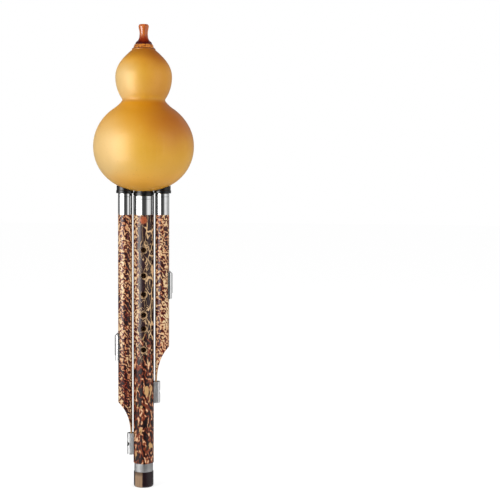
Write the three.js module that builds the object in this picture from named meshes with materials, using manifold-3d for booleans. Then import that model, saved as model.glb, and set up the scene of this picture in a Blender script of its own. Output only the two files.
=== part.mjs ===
// A hulusi, the gourd flute of south-west China: a natural gourd as wind chest, a melody pipe with
// finger holes between two drone pipes, a free reed at the head of each pipe, and a mouthpiece.
// Millimetres, +Z up. The origin is on the melody pipe's axis, on the lower end face.
// The front, with the finger holes, faces -Y. Left and right are as seen from the front.
import * as THREE from "three";
import { mergeVertices } from "three/addons/utils/BufferGeometryUtils.js";
import Module from "manifold-3d";

const wasm = await Module();
wasm.setup();

// Clearances and facets
const gap = 0.3; // between pieces that seat on each other round a curve
const thinGap = 0.15; // under thin metal, and under what is glued in
const overrun = 5; // how far a cutting solid runs past what it cuts
const weld = 1e-4; // vertices closer than this are one vertex
const pipeSides = 24;
const smallSides = 16;
const tinySides = 12;
const gourdSides = 32;
const arcStep = 11; // degrees between points of an arc round a drone pipe
const turnStep = 18; // degrees between points up the gourd's outline
const bevelSteps = 10; // along the slanted cut of a drone's tail
const backSteps = 8; // round the back of a stop key or a tail sleeve

// Gourd: two swellings, each an ellipse above and below its widest ring, and a neck
const gourdWall = 3.2;
const bellyRadius = 47.6;
const bellyLower = 42.4;
const bellyUpper = 44.3;
const bellyFullnessShare = 1.03; // the lower belly's power, as a share of an ellipse's
const bellyToCrown = 65.1; // between the two widest rings
const crownRadius = 26.7;
const crownLower = 31.9;
const crownUpper = 24.9;
const crownToNeck = 26.8; // from the crown's widest ring to the cut top
const waistBlend = 17;
const neckRadius = 10;
const neckBlend = 13.3;

// Mouthpiece
const mouthpieceHeight = 18.8;
const mouthpieceFlare = 8;
const mouthpieceBore = 3.1;
const stemRadius = 5.6;
const stemLength = 15.2;
const corkThickness = 0.8;
const corkInset = 1.2;
const collarHeight = 3.6;
const collarTopRadius = 8.7;
const collarFootRadius = 9.9;
// Radius as a share of the flare's, height as a share of the mouthpiece's
const mouthpieceShares = [
  [1, 0],
  [0.985, 0.05],
  [0.9, 0.12],
  [0.735, 0.175],
  [0.6, 0.26],
  [0.52, 0.37],
  [0.485, 0.52],
  [0.5, 0.65],
  [0.56, 0.79],
  [0.604, 0.885],
  [0.58, 0.955],
  [0.47, 1],
];

// Melody pipe, from the foot up
const melodyRadius = 9.7;
const melodyBore = 6.75;
const melodyStave = 237; // the length of bare bamboo
const footSpigotWall = 1.45;
const endCapHeight = 14.8;
const endCapInset = 0.3; // narrower than the bamboo
const endCapFloor = 4.7;
const endCapRound = 1.7;
const endRingHeight = 8.3;
const endRingInset = 0.75; // narrower than the bamboo
const fingerHoleRadius = 2.5;
const toneHoleRadius = 2.6;
const cordHoleRadius = 1.3;
const topSpigotLength = 6;
// Heights up the bare bamboo, as shares of its length
const fingerHoleShares = [0.461, 0.546, 0.601, 0.6835, 0.758, 0.8605];
const thumbHoleShare = 0.93;
const toneHoleShare = 0.235;
const cordHoleShare = 0.06;

// Drone pipes
const droneRadius = 6.7;
const droneBore = 4.25;
const pipeGap = 1.1; // between the melody pipe's bamboo and a drone's
const droneOffset = melodyRadius + pipeGap + droneRadius;
const tongueThickness = 1.85; // the strip of wall left below the slanted cut
const tongueHalfWidth = 2.3;
const tongueEndRise = 6.9; // the strip's lower end above the sleeve's bottom
const bevelTurnShare = 0.3; // where the slanted cut bends, as a share of the tail's length
const taperTopShare = 0.6; // where the tail begins to narrow, as a share of the tail's length
const plugLength = 8;
const plugInset = 1.5;

// Each pipe's joint with the gourd, from the outside in
const ferruleProud = 0.05; // the melody pipe's ferrule beyond its bamboo
const jointSizes = {
  melody: {
    ferruleHeight: 18,
    ferruleWall: 0.95,
    tenonShoulder: 1.8,
    tenonWall: 1.1,
    shankRise: 12.1, // above the gourd's lowest point
    reedTubeWall: 1.2,
    reedTubeLength: 60,
    flatDepth: 1.3,
    plateRise: 10,
    plateLength: 27,
    tongueLength: 19.4,
    tongueTip: 1.2,
    tongueRoot: 2.6,
    ringSection: 0.75, // radius of an O-ring's section
  },
  drone: {
    ferruleHeight: 20.2,
    ferruleWall: 0.8,
    tenonShoulder: 0.7,
    tenonWall: 0.9,
    shankRise: 14.1,
    reedTubeWall: 0.9,
    reedTubeLength: 48,
    flatDepth: 1,
    plateRise: 9,
    plateLength: 22,
    tongueLength: 15.4,
    tongueTip: 0.9,
    tongueRoot: 1.8,
    ringSection: 0.5,
  },
};
const tenonGap = 0.4; // between the tenon and the ferrule's bore
const seatGap = 0.2; // between the ferrule's top and the seat
const seatWall = 1.1;
const flangeProud = 0.05; // the melody seat's flange beyond its ferrule
const droneFlangeProud = 1.7; // a drone seat's flange beyond its ferrule
const flangeGap = 0.35; // between the melody seat's flange and a drone's, which is cut back for it
const flangeThickness = 2.6;
const collarStep = 0.4; // the seat's collar inside its flange
const collarReach = 12; // before the gourd's surface cuts it
const seatDrop = 3.7; // the melody seat's flange below the gourd's lowest point
const spigotRise = 10; // the seats' spigots above that point
const ringProud = 0.25; // of the tenon
const grooveGap = 0.15;
const ringShares = [0.35, 0.7]; // down the tenon
const plateInset = 0.25;
const plateThickness = 0.8;
const windowInset = 1.2; // of the tube's window inside the plate's edge
const tongueThick = 0.4;
const tongueGap = 0.3;
const capThickness = 2.5;
const capSpigot = 4;

// Stop key of a drone: a slider that carries a pad over the drone's sound hole
const keyLength = 26.4;
const keyTravel = 9;
const keyHalfWidth = 4.4;
const keySideRise = 0.4; // of the straight sides above the bamboo, before the rounded back
const keyChannelAngle = 27; // from the key's middle to its side walls
const keyLipAngle = 5.5; // degrees that a lip reaches in under the track
const keyHeight = 3.2; // above the bamboo
const keyStepDrop = 0.7; // the lower end below the rest of the key
const keyStepLength = 4.6;
const keyStepRise = 1.1;
const keyTopSlope = 2.6;
const keyTopHeight = 0.9;
const keyEndWall = 2;
const keyEdge = 0.5;
const trackThickness = 0.5;
const trackRise = 0.35; // from the base plate to the flange
const flangeThin = 0.45;
const trackInset = 0.4;
const trackHalfAngle = 19;
const trackWebAngle = 5;
const trackFlangeAngle = 5.5;
const slotHalfAngle = 13.5;
const slotEnd = 3.4;
const padHalfAngle = 11;
const padLength = 6;
const trackLength = 2 * slotEnd + padLength + keyTravel + 2 * gap;
const soundHoleRadius = 1.05;
const keyScrewRadius = 0.7;
const keyScrewHead = 1.35;
const keyScrewHeadHeight = 0.6;
const keyScrewLength = 1.4;

// Tail sleeve: the metal cup that ties a drone's tail to the melody pipe
const sleeveHalfDepth = 3.55; // away from the melody pipe
const sleeveHalfWidth = 3.4;
const sleeveBack = 2.6; // depth of the rounded back
const sleeveWall = 0.6;
const sleeveHeight = 20.5;
const sleeveFloor = 1;
const sleeveRound = 1.3;
const sleeveBite = 1.05; // how deep the melody pipe would reach into the sleeve
const sleeveHoleRadius = 2.35;
const tailScrewRadius = 0.8;
const tailScrewHead = 1.55;
const tailScrewHeadHeight = 0.9;
const tailScrewBite = 1.2;
const spacerHalfWidth = 1.4;
const spacerHalfHeight = 3;

// What differs between the two drones
const sides = {
  left: { turn: Math.PI, sleeveBottom: 31.1, tailLength: 30.1, keyBottom: 121.3, holeTurn: 26 },
  right: { turn: 0, sleeveBottom: 80.6, tailLength: 33.7, keyBottom: 180.4, holeTurn: 4 },
};

// Heights that follow from those sizes
const staveBottom = endCapHeight + endRingHeight;
const staveTop = staveBottom + melodyStave;
const gourdBottom = staveTop + jointSizes.melody.ferruleHeight + seatGap + seatDrop;
const bellyCentre = gourdBottom + bellyLower;
const crownCentre = bellyCentre + bellyToCrown;
const gourdTop = crownCentre + crownToNeck;
const mouthpieceFoot = gourdTop + collarHeight;
const neckHoleRadius = stemRadius + gap + corkThickness + gap;

// Finishes
const finishes = {
  gourd: new THREE.MeshStandardMaterial({ color: 0xdba245, roughness: 0.42 }),
  bamboo: new THREE.MeshStandardMaterial({ color: 0x8a5a38, roughness: 0.35 }),
  reedTube: new THREE.MeshStandardMaterial({ color: 0xb58a55, roughness: 0.6 }),
  chrome: new THREE.MeshStandardMaterial({ color: 0xdedede, roughness: 0.12, metalness: 1 }),
  brass: new THREE.MeshStandardMaterial({ color: 0xc79a4b, roughness: 0.3, metalness: 1 }),
  blackPlastic: new THREE.MeshStandardMaterial({ color: 0x16161a, roughness: 0.3 }),
  amber: new THREE.MeshStandardMaterial({ color: 0xc4571a, roughness: 0.12 }),
  horn: new THREE.MeshStandardMaterial({ color: 0x1d1416, roughness: 0.25 }),
  cork: new THREE.MeshStandardMaterial({ color: 0xb88a5a, roughness: 0.9 }),
  felt: new THREE.MeshStandardMaterial({ color: 0x6b2a20, roughness: 0.95 }),
  rubber: new THREE.MeshStandardMaterial({ color: 0x222222, roughness: 0.7 }),
  steel: new THREE.MeshStandardMaterial({ color: 0x3c3c40, roughness: 0.35, metalness: 1 }),
};

// Turns a closed geometry into a solid that can be cut and joined.
function solidOf(geometry) {
  const bare = geometry.index ? geometry.toNonIndexed() : geometry.clone();
  bare.deleteAttribute("normal");
  bare.deleteAttribute("uv");
  const merged = mergeVertices(bare, weld);
  const index = merged.index.array;
  const triangles = [];
  for (let i = 0; i < index.length; i += 3) {
    const [a, b, c] = [index[i], index[i + 1], index[i + 2]];
    if (a !== b && b !== c && c !== a) triangles.push(a, b, c);
  }
  return new wasm.Manifold(
    new wasm.Mesh({
      numProp: 3,
      vertProperties: merged.attributes.position.array,
      triVerts: new Uint32Array(triangles),
    }),
  );
}

function meshOf(name, solid, finish) {
  const { vertProperties, triVerts } = solid.getMesh();
  const geometry = new THREE.BufferGeometry();
  geometry.setAttribute("position", new THREE.BufferAttribute(vertProperties, 3));
  geometry.setIndex(new THREE.BufferAttribute(triVerts, 1));
  geometry.computeVertexNormals();
  const mesh = new THREE.Mesh(geometry, finishes[finish]);
  mesh.name = name;
  return mesh;
}

// A turned piece round the Z axis. The outline runs up the outside, as [radius, height] points, and
// either starts and ends on the axis or is closed up to its first point here.
function turned(outline, sideCount) {
  const points = outline.map(([radius, height]) => new THREE.Vector2(radius, height));
  if (points[0].x > 0) points.push(points[0].clone());
  const lathe = new THREE.LatheGeometry(points, sideCount);
  return solidOf(lathe.rotateX(Math.PI / 2));
}

function disc(radius, bottom, top, sideCount) {
  return turned([[0, bottom], [radius, bottom], [radius, top], [0, top]], sideCount);
}

// A plain tube, or one whose radii change where its steps say: [outer radius, height] pairs.
function tube(bore, steps, sideCount) {
  const bottom = steps[0][1];
  const top = steps[steps.length - 1][1];
  return turned([[bore, bottom], ...steps, [bore, top]], sideCount);
}

// The outline of a cup's foot, rounded up to its outer radius.
function roundedFoot(outer, round, bottom) {
  return [0, 30, 60, 90].map((degrees) => {
    const angle = THREE.MathUtils.degToRad(degrees);
    return [outer - round * (1 - Math.sin(angle)), bottom + round * (1 - Math.cos(angle))];
  });
}

// A rod along X from one place to another, at a height.
function rodAlongX(radius, from, to, height, sideCount) {
  return disc(radius, from, to, sideCount).rotate([0, 90, 0]).translate([0, 0, height]);
}

// A rod along -Y, from the axis outwards.
function rodToFront(radius, length, height, sideCount) {
  return disc(radius, 0, length, sideCount).rotate([90, 0, 0]).translate([0, 0, height]);
}

// A flat shape in the XZ plane, given thickness along Y on both sides of that plane.
function slab(shape, halfThickness) {
  const extruded = new THREE.ExtrudeGeometry(shape, {
    depth: 2 * halfThickness,
    bevelEnabled: false,
    curveSegments: bevelSteps,
  });
  return solidOf(extruded.rotateX(Math.PI / 2).translate(0, halfThickness, 0));
}

function polygon(points) {
  return new THREE.Shape(points.map(([x, y]) => new THREE.Vector2(x, y)));
}

// A piece of a ring round the Z axis, between two radii and two angles in degrees from +X.
function ringSector(inner, outer, from, to, bottom, top) {
  const [start, end] = [THREE.MathUtils.degToRad(from), THREE.MathUtils.degToRad(to)];
  const shape = new THREE.Shape();
  shape.absarc(0, 0, outer, start, end, false);
  shape.absarc(0, 0, inner, end, start, true);
  shape.closePath();
  const extruded = new THREE.ExtrudeGeometry(shape, {
    depth: top - bottom,
    bevelEnabled: false,
    curveSegments: Math.ceil((to - from) / arcStep),
  });
  return solidOf(extruded.translate(0, 0, bottom));
}

// Gourd

function ellipseRadius(height, centre, radius, reach, fullnessShare) {
  const power = 2 * fullnessShare;
  const rise = Math.min(1, Math.abs(height - centre) / reach);
  return radius * (1 - rise ** power) ** (1 / power);
}

function blendedMaximum(a, b, width) {
  const nearness = Math.max(0, 1 - Math.abs(a - b) / width);
  return Math.max(a, b) + (nearness ** 2 * width) / 4;
}

function gourdRadiusAt(height) {
  if (height < bellyCentre) {
    return ellipseRadius(height, bellyCentre, bellyRadius, bellyLower, bellyFullnessShare);
  }
  const crownReach = height < crownCentre ? crownLower : crownUpper;
  const belly = ellipseRadius(height, bellyCentre, bellyRadius, bellyUpper, 1);
  const crown = ellipseRadius(height, crownCentre, crownRadius, crownReach, 1);
  const body = blendedMaximum(belly, crown, waistBlend);
  return height < crownCentre ? body : blendedMaximum(body, neckRadius, neckBlend);
}

function gourdHeights() {
  const heights = [];
  for (let turn = -90; turn < 90; turn += turnStep) {
    const sine = Math.sin(THREE.MathUtils.degToRad(turn));
    heights.push(bellyCentre + sine * (turn < 0 ? bellyLower : bellyUpper));
    heights.push(crownCentre + sine * (turn < 0 ? crownLower : crownUpper));
  }
  return heights
    .filter((height) => height < gourdTop)
    .sort((a, b) => a - b)
    .filter((height, i, all) => i === 0 || height - all[i - 1] > gap);
}

// The gourd's outline moved outwards by a distance, or inwards where it is negative.
function gourdSolid(distance) {
  const outline = gourdHeights().map((height) => {
    const radius = gourdRadiusAt(height);
    if (height === gourdBottom) return [0, gourdBottom - distance];
    const slope = (gourdRadiusAt(height + weld) - gourdRadiusAt(height - weld)) / (2 * weld);
    const length = Math.hypot(1, slope);
    return [radius + distance / length, height - (distance * slope) / length];
  });
  const kept = outline.filter(([radius], i) => i === 0 || radius > gap);
  const topHeight = distance < 0 ? kept[kept.length - 1][1] : gourdTop + distance;
  const topRadius = distance < 0 ? [] : [[neckRadius + distance, topHeight]];
  return turned([...kept, ...topRadius, [0, topHeight]], gourdSides);
}

function makeGourd() {
  const holes = [
    disc(neckHoleRadius, crownCentre, gourdTop + overrun, smallSides),
    ...["melody", "left", "right"].map((voice) => {
      const { seatSpigot, x } = jointOf(voice);
      const hole = disc(seatSpigot + gap, gourdBottom - overrun, bellyCentre, smallSides);
      return hole.translate([x, 0, 0]);
    }),
  ];
  const shell = gourdSolid(0).subtract(gourdSolid(-gourdWall));
  return holes.reduce((gourd, hole) => gourd.subtract(hole), shell);
}

// Mouthpiece

function makeMouthpiece() {
  const curve = new THREE.SplineCurve(
    mouthpieceShares.map(
      ([radius, height]) =>
        new THREE.Vector2(radius * mouthpieceFlare, mouthpieceFoot + height * mouthpieceHeight),
    ),
  );
  const outline = curve.getPoints(mouthpieceShares.length + 2).map((point) => [point.x, point.y]);
  const stemBottom = mouthpieceFoot - stemLength;
  const top = mouthpieceFoot + mouthpieceHeight;
  const blank = turned(
    [[0, stemBottom], [stemRadius, stemBottom], [stemRadius, mouthpieceFoot], ...outline, [0, top]],
    smallSides,
  );
  return blank.subtract(disc(mouthpieceBore, stemBottom - overrun, top + overrun, smallSides));
}

function makeMouthpieceCork() {
  const bottom = mouthpieceFoot - stemLength + corkInset;
  const outer = stemRadius + gap + corkThickness;
  return tube(stemRadius + gap, [[outer, bottom], [outer, gourdTop - gap]], smallSides);
}

function makeMouthpieceCollar() {
  const steps = [[collarFootRadius, gourdTop], [collarTopRadius, mouthpieceFoot]];
  return tube(neckHoleRadius, steps, smallSides);
}

// Joint between each pipe and the gourd

// Radii and heights of one voice's joint, worked out from the ferrule inwards.
function jointOf(voice) {
  const isMelody = voice === "melody";
  const sizes = isMelody ? jointSizes.melody : jointSizes.drone;
  const ferruleRadius = isMelody ? melodyRadius + ferruleProud : droneRadius;
  const ferruleBore = ferruleRadius - sizes.ferruleWall;
  const tenonRadius = ferruleBore - tenonGap;
  const shankRadius = tenonRadius - sizes.tenonShoulder;
  const tenonBore = shankRadius - sizes.tenonWall;
  const reedSpigot = tenonBore - gap;
  const flangeBottom = staveTop + sizes.ferruleHeight + seatGap;
  return {
    ...sizes,
    x: isMelody ? 0 : voice === "left" ? -droneOffset : droneOffset,
    ferruleRadius,
    ferruleBore,
    tenonRadius,
    shankRadius,
    tenonBore,
    tenonBottom: staveTop + topSpigotLength + gap,
    seatSpigot: shankRadius + gap + seatWall,
    flangeRadius: ferruleRadius + (isMelody ? flangeProud : droneFlangeProud),
    flangeBottom,
    shankTop: gourdBottom + sizes.shankRise,
    reedSpigot,
    reedBore: reedSpigot - sizes.reedTubeWall,
    reedTubeTop: gourdBottom + sizes.shankRise + sizes.reedTubeLength,
  };
}

function makeFerrule(joint) {
  const top = staveTop + joint.ferruleHeight;
  const steps = [[joint.ferruleRadius, staveTop], [joint.ferruleRadius, top]];
  return tube(joint.ferruleBore, steps, pipeSides);
}

// The seat's flange and collar follow the gourd's surface, and its spigot goes in through the gourd.
// A drone's flange and collar are cut back round the melody seat.
function makeSeat(joint) {
  const { x, flangeRadius, flangeBottom, seatSpigot } = joint;
  const { flangeRadius: melodyFlange } = jointOf("melody");
  const flangeTop = flangeBottom + flangeThickness;
  const flange = disc(flangeRadius, flangeBottom, flangeTop, pipeSides);
  const collar = disc(flangeRadius - collarStep, flangeTop, flangeTop + collarReach, pipeSides);
  const whole = flange.add(collar).subtract(gourdSolid(gap).translate([-x, 0, 0]));
  const room = disc(
    melodyFlange + flangeGap,
    flangeBottom - overrun,
    flangeTop + collarReach + overrun,
    pipeSides,
  );
  const outside = x === 0 ? whole : whole.subtract(room.translate([-x, 0, 0]));
  const spigot = disc(seatSpigot, flangeBottom, gourdBottom + spigotRise, smallSides);
  const bore = disc(
    joint.shankRadius + gap,
    flangeBottom - overrun,
    gourdBottom + spigotRise + overrun,
    smallSides,
  );
  return outside.add(spigot).subtract(bore).translate([x, 0, 0]);
}

function ringHeights(joint) {
  const { flangeBottom, tenonBottom } = joint;
  return ringShares.map((share) => flangeBottom - share * (flangeBottom - tenonBottom));
}

function makeTenon(joint) {
  const { tenonRadius, shankRadius, tenonBore, tenonBottom, shankTop, flangeBottom } = joint;
  const { ringSection } = joint;
  const shoulder = flangeBottom - thinGap;
  const steps = [
    [tenonRadius, tenonBottom],
    [tenonRadius, shoulder],
    [shankRadius, shoulder],
    [shankRadius, shankTop],
  ];
  const blank = tube(tenonBore, steps, smallSides);
  return ringHeights(joint).reduce((tenon, height) => {
    const half = ringSection + grooveGap;
    const floor = tenonRadius + ringProud - 2 * ringSection - grooveGap;
    const outside = tenonRadius + overrun;
    const groove = tube(floor, [[outside, height - half], [outside, height + half]], smallSides);
    return tenon.subtract(groove);
  }, blank);
}

function makeRing({ tenonRadius, ringSection }, height) {
  const centre = tenonRadius + ringProud - ringSection;
  const outline = [180, 240, 300, 0, 60, 120].map((degrees) => {
    const angle = THREE.MathUtils.degToRad(degrees);
    return [centre + ringSection * Math.cos(angle), height + ringSection * Math.sin(angle)];
  });
  return turned(outline, smallSides);
}

// The reed tube stands in the gourd. The plate lies on a flat of its front, over a window.
function reedPlaces(joint) {
  const flat = joint.shankRadius - joint.flatDepth;
  const plateBottom = joint.shankTop + joint.plateRise;
  const chord = Math.sqrt(joint.shankRadius ** 2 - flat ** 2);
  const slotRise = (joint.plateLength - joint.tongueLength) / 2 - tongueGap;
  return {
    flat,
    plateBottom,
    plateTop: plateBottom + joint.plateLength,
    plateHalfWidth: chord - plateInset,
    rootHeight: plateBottom + slotRise + tongueGap,
  };
}

function boxBetween([x0, y0, z0], [x1, y1, z1]) {
  const box = new THREE.BoxGeometry(x1 - x0, y1 - y0, z1 - z0);
  return solidOf(box.translate((x0 + x1) / 2, (y0 + y1) / 2, (z0 + z1) / 2));
}

function makeReedTube(joint) {
  const { shankRadius, reedSpigot, reedBore, reedTubeTop, shankTop } = joint;
  const { flat, plateBottom, plateTop, plateHalfWidth } = reedPlaces(joint);
  const spigotBottom = gourdBottom;
  const steps = [
    [reedSpigot, spigotBottom],
    [reedSpigot, shankTop],
    [shankRadius, shankTop],
    [shankRadius, reedTubeTop],
  ];
  const bed = boxBetween(
    [-shankRadius, -shankRadius - overrun, plateBottom - gap],
    [shankRadius, -flat, plateTop + gap],
  );
  const windowHalf = plateHalfWidth - windowInset;
  const window = boxBetween(
    [-windowHalf, -flat - overrun, plateBottom + windowInset],
    [windowHalf, 0, plateTop - windowInset],
  );
  return tube(reedBore, steps, smallSides).subtract(bed).subtract(window);
}

// A tapering strip in the XZ plane, widest at its foot.
function strip(bottom, top, footHalf, topHalf) {
  return polygon([[-footHalf, bottom], [footHalf, bottom], [topHalf, top], [-topHalf, top]]);
}

function makeReedPlate(joint) {
  const { flat, plateBottom, plateTop, plateHalfWidth, rootHeight } = reedPlaces(joint);
  const half = plateThickness / 2;
  const plate = slab(strip(plateBottom, plateTop, plateHalfWidth, plateHalfWidth), half);
  const slot = slab(
    strip(
      rootHeight - tongueGap,
      rootHeight + joint.tongueLength + tongueGap,
      joint.tongueRoot / 2 + tongueGap,
      joint.tongueTip / 2 + tongueGap,
    ),
    overrun,
  );
  return plate.subtract(slot).translate([0, -flat - half, 0]);
}

function makeReedTongue(joint) {
  const { flat, rootHeight } = reedPlaces(joint);
  const top = rootHeight + joint.tongueLength;
  const tongue = slab(
    strip(rootHeight, top, joint.tongueRoot / 2, joint.tongueTip / 2),
    tongueThick / 2,
  );
  return tongue.translate([0, -flat - plateThickness / 2, 0]);
}

function makeReedCap(joint) {
  const { shankRadius, reedBore, reedTubeTop } = joint;
  const plug = disc(reedBore - gap, reedTubeTop - capSpigot, reedTubeTop, smallSides);
  return plug.add(disc(shankRadius, reedTubeTop, reedTubeTop + capThickness, smallSides));
}

// Melody pipe

function makeMelodyPipe() {
  const { ferruleBore } = jointOf("melody");
  const footSpigot = melodyBore + footSpigotWall;
  const topSpigot = ferruleBore - gap;
  const steps = [
    [footSpigot, endCapFloor + gap],
    [footSpigot, staveBottom],
    [melodyRadius, staveBottom],
    [melodyRadius, staveTop],
    [topSpigot, staveTop],
    [topSpigot, staveTop + topSpigotLength],
  ];
  const heightOf = (share) => staveBottom + share * melodyStave;
  const reach = melodyRadius + overrun;
  const front = fingerHoleShares.map((share) =>
    rodToFront(fingerHoleRadius, reach, heightOf(share), tinySides),
  );
  const back = [
    [fingerHoleRadius, thumbHoleShare],
    [toneHoleRadius, toneHoleShare],
    [cordHoleRadius, cordHoleShare],
  ].map(([radius, share]) =>
    rodToFront(radius, reach, heightOf(share), tinySides).rotate([0, 0, 180]),
  );
  const screwHoles = Object.entries(sides).map(([side, { sleeveBottom }]) => {
    const height = sleeveBottom + sleeveHeight / 2;
    const tip = melodyRadius - tailScrewBite - gap;
    const hole = rodAlongX(tailScrewRadius + thinGap, tip, reach, height, tinySides);
    return side === "left" ? hole.rotate([0, 0, 180]) : hole;
  });
  return [...front, ...back, ...screwHoles].reduce(
    (pipe, hole) => pipe.subtract(hole),
    tube(melodyBore, steps, pipeSides),
  );
}

function makeEndRing() {
  const outer = melodyRadius - endRingInset;
  const inner = melodyBore + footSpigotWall + gap;
  return tube(inner, [[outer, endCapHeight], [outer, staveBottom]], pipeSides);
}

function makeEndCap() {
  const outer = melodyRadius - endCapInset;
  const socket = melodyBore + footSpigotWall + gap;
  return turned(
    [
      [melodyBore, 0],
      ...roundedFoot(outer, endCapRound, 0),
      [outer, endCapHeight],
      [socket, endCapHeight],
      [socket, endCapFloor],
      [melodyBore, endCapFloor],
    ],
    pipeSides,
  );
}

// Drone pipes. Each is made round its own axis, with +X pointing away from the melody pipe.

function droneHeights({ sleeveBottom, tailLength, keyBottom }) {
  const sleeveTop = sleeveBottom + sleeveHeight;
  const padCentre = keyBottom + trackInset + slotEnd + gap + padLength / 2;
  return {
    sleeveTop,
    bevelTop: sleeveTop + tailLength,
    pipeBottom: sleeveBottom + tongueEndRise,
    padCentre,
    trackBottom: keyBottom + trackInset,
    trackTop: keyBottom + trackInset + trackLength,
  };
}

const tongueFace = -droneRadius + tongueThickness; // the tongue's outer side
const trackInner = droneRadius + thinGap;
const trackOuter = trackInner + trackThickness;
const trackFlangeBottom = trackOuter + trackRise;
const trackFlangeTop = trackFlangeBottom + flangeThin;
const keyInner = droneRadius + gap - thinGap / 2;
const keyLipTop = trackFlangeBottom - gap;
const keyRoof = trackFlangeTop + gap;
const keyOuter = droneRadius + keyHeight;
const keySideTop = droneRadius + keySideRise;

function bevelCutter(heights, tailLength) {
  const { bevelTop, pipeBottom } = heights;
  const outside = droneRadius + overrun;
  const shape = new THREE.Shape();
  shape.moveTo(outside, bevelTop);
  shape.lineTo(droneRadius, bevelTop);
  shape.quadraticCurveTo(
    tongueFace,
    bevelTop - bevelTurnShare * tailLength,
    tongueFace,
    bevelTop - tailLength,
  );
  shape.lineTo(tongueFace, pipeBottom - overrun);
  shape.lineTo(outside, pipeBottom - overrun);
  shape.closePath();
  return slab(shape, outside);
}

// Narrows the tail from both sides, down to the tongue's width where it enters the sleeve.
function taperCutter(heights, tailLength) {
  const { sleeveTop, pipeBottom } = heights;
  const outside = droneRadius + overrun;
  const taperTop = sleeveTop + taperTopShare * tailLength;
  const oneSide = slab(
    polygon([
      [tongueHalfWidth, pipeBottom - overrun],
      [outside, pipeBottom - overrun],
      [outside, taperTop],
      [droneRadius, taperTop],
      [tongueHalfWidth, sleeveTop + gap],
    ]),
    outside,
  ).rotate([0, 0, 90]);
  return oneSide.add(oneSide.rotate([0, 0, 180]));
}

function keyScrewHeights(heights) {
  return [heights.trackBottom + slotEnd / 2, heights.trackTop - slotEnd / 2];
}

function makeDronePipe(side) {
  const { tailLength, sleeveBottom } = side;
  const { ferruleBore } = jointOf("left");
  const heights = droneHeights(side);
  const topSpigot = ferruleBore - gap;
  const steps = [
    [droneRadius, heights.pipeBottom],
    [droneRadius, staveTop],
    [topSpigot, staveTop],
    [topSpigot, staveTop + topSpigotLength],
  ];
  const outside = droneRadius + overrun;
  const screwTip = droneRadius - keyScrewLength - thinGap;
  const cutters = [
    bevelCutter(heights, tailLength),
    taperCutter(heights, tailLength),
    rodAlongX(soundHoleRadius, 0, outside, heights.padCentre, tinySides),
    ...keyScrewHeights(heights).map((height) =>
      rodAlongX(keyScrewRadius + thinGap, screwTip, outside, height, tinySides),
    ),
    rodAlongX(
      tailScrewRadius + thinGap,
      -outside,
      0,
      sleeveBottom + sleeveHeight / 2,
      tinySides,
    ),
  ];
  return cutters.reduce((pipe, cutter) => pipe.subtract(cutter), tube(droneBore, steps, pipeSides));
}

function makeDronePlug(side) {
  const bottom = droneHeights(side).bevelTop + plugInset;
  return disc(droneBore - gap, bottom, bottom + plugLength, smallSides);
}

// The track is a plate with a slot for the pad, and a rail with an outward flange along each side.
function makeKeyTrack(side) {
  const heights = droneHeights(side);
  const { trackBottom, trackTop } = heights;
  const half = trackHalfAngle;
  const base = ringSector(trackInner, trackOuter, -half, half, trackBottom, trackTop);
  const rail = ringSector(
    trackOuter - thinGap,
    trackFlangeTop,
    half - trackWebAngle,
    half,
    trackBottom,
    trackTop,
  ).add(
    ringSector(
      trackFlangeBottom,
      trackFlangeTop,
      half - trackWebAngle,
      half + trackFlangeAngle,
      trackBottom,
      trackTop,
    ),
  );
  const otherRail = rail.mirror([0, 1, 0]);
  const slot = ringSector(
    trackInner - gap,
    trackFlangeTop,
    -slotHalfAngle,
    slotHalfAngle,
    trackBottom + slotEnd,
    trackTop - slotEnd,
  );
  return keyScrewHeights(heights).reduce(
    (track, height) =>
      track.subtract(
        rodAlongX(keyScrewRadius + thinGap, 0, keyOuter, height, tinySides),
      ),
    base.add(rail).add(otherRail).subtract(slot),
  );
}

function makeKeyScrew(height) {
  const seat = trackOuter + thinGap;
  const shank = rodAlongX(keyScrewRadius, droneRadius - keyScrewLength, seat + thinGap, height, tinySides);
  const head = rodAlongX(keyScrewHead, seat, seat + keyScrewHeadHeight, height, tinySides);
  return shank.add(head);
}

// The slider's outside: a step at the lower end, and a slope at the upper end.
function keyEnvelope(bottom) {
  const top = bottom + keyLength;
  const stepRadius = keyOuter - keyStepDrop;
  const stepTop = bottom + keyStepLength;
  return turned(
    [
      [0, bottom],
      [stepRadius - keyEdge, bottom],
      [stepRadius, bottom + keyEdge],
      [stepRadius, stepTop],
      [keyOuter - keyEdge / 2, stepTop + keyStepRise],
      [keyOuter, stepTop + keyStepRise + keyEdge],
      [keyOuter, top - keyTopSlope],
      [keyOuter - keyEdge, top - keyTopSlope + keyEdge],
      [droneRadius + keyTopHeight, top],
      [0, top],
    ],
    pipeSides,
  );
}

// A block that stands between two heights. It has straight sides, and a back of half an ellipse.
function backedBlock(start, straight, back, halfWidth, bottom, top) {
  const shape = new THREE.Shape();
  const right = Math.PI / 2;
  shape.moveTo(start, halfWidth);
  shape.lineTo(start, -halfWidth);
  shape.absellipse(straight, 0, back - straight, halfWidth, -right, right, false, 0);
  shape.closePath();
  const extruded = new THREE.ExtrudeGeometry(shape, {
    depth: top - bottom,
    bevelEnabled: false,
    curveSegments: backSteps,
  });
  return solidOf(extruded.translate(0, 0, bottom));
}

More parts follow.
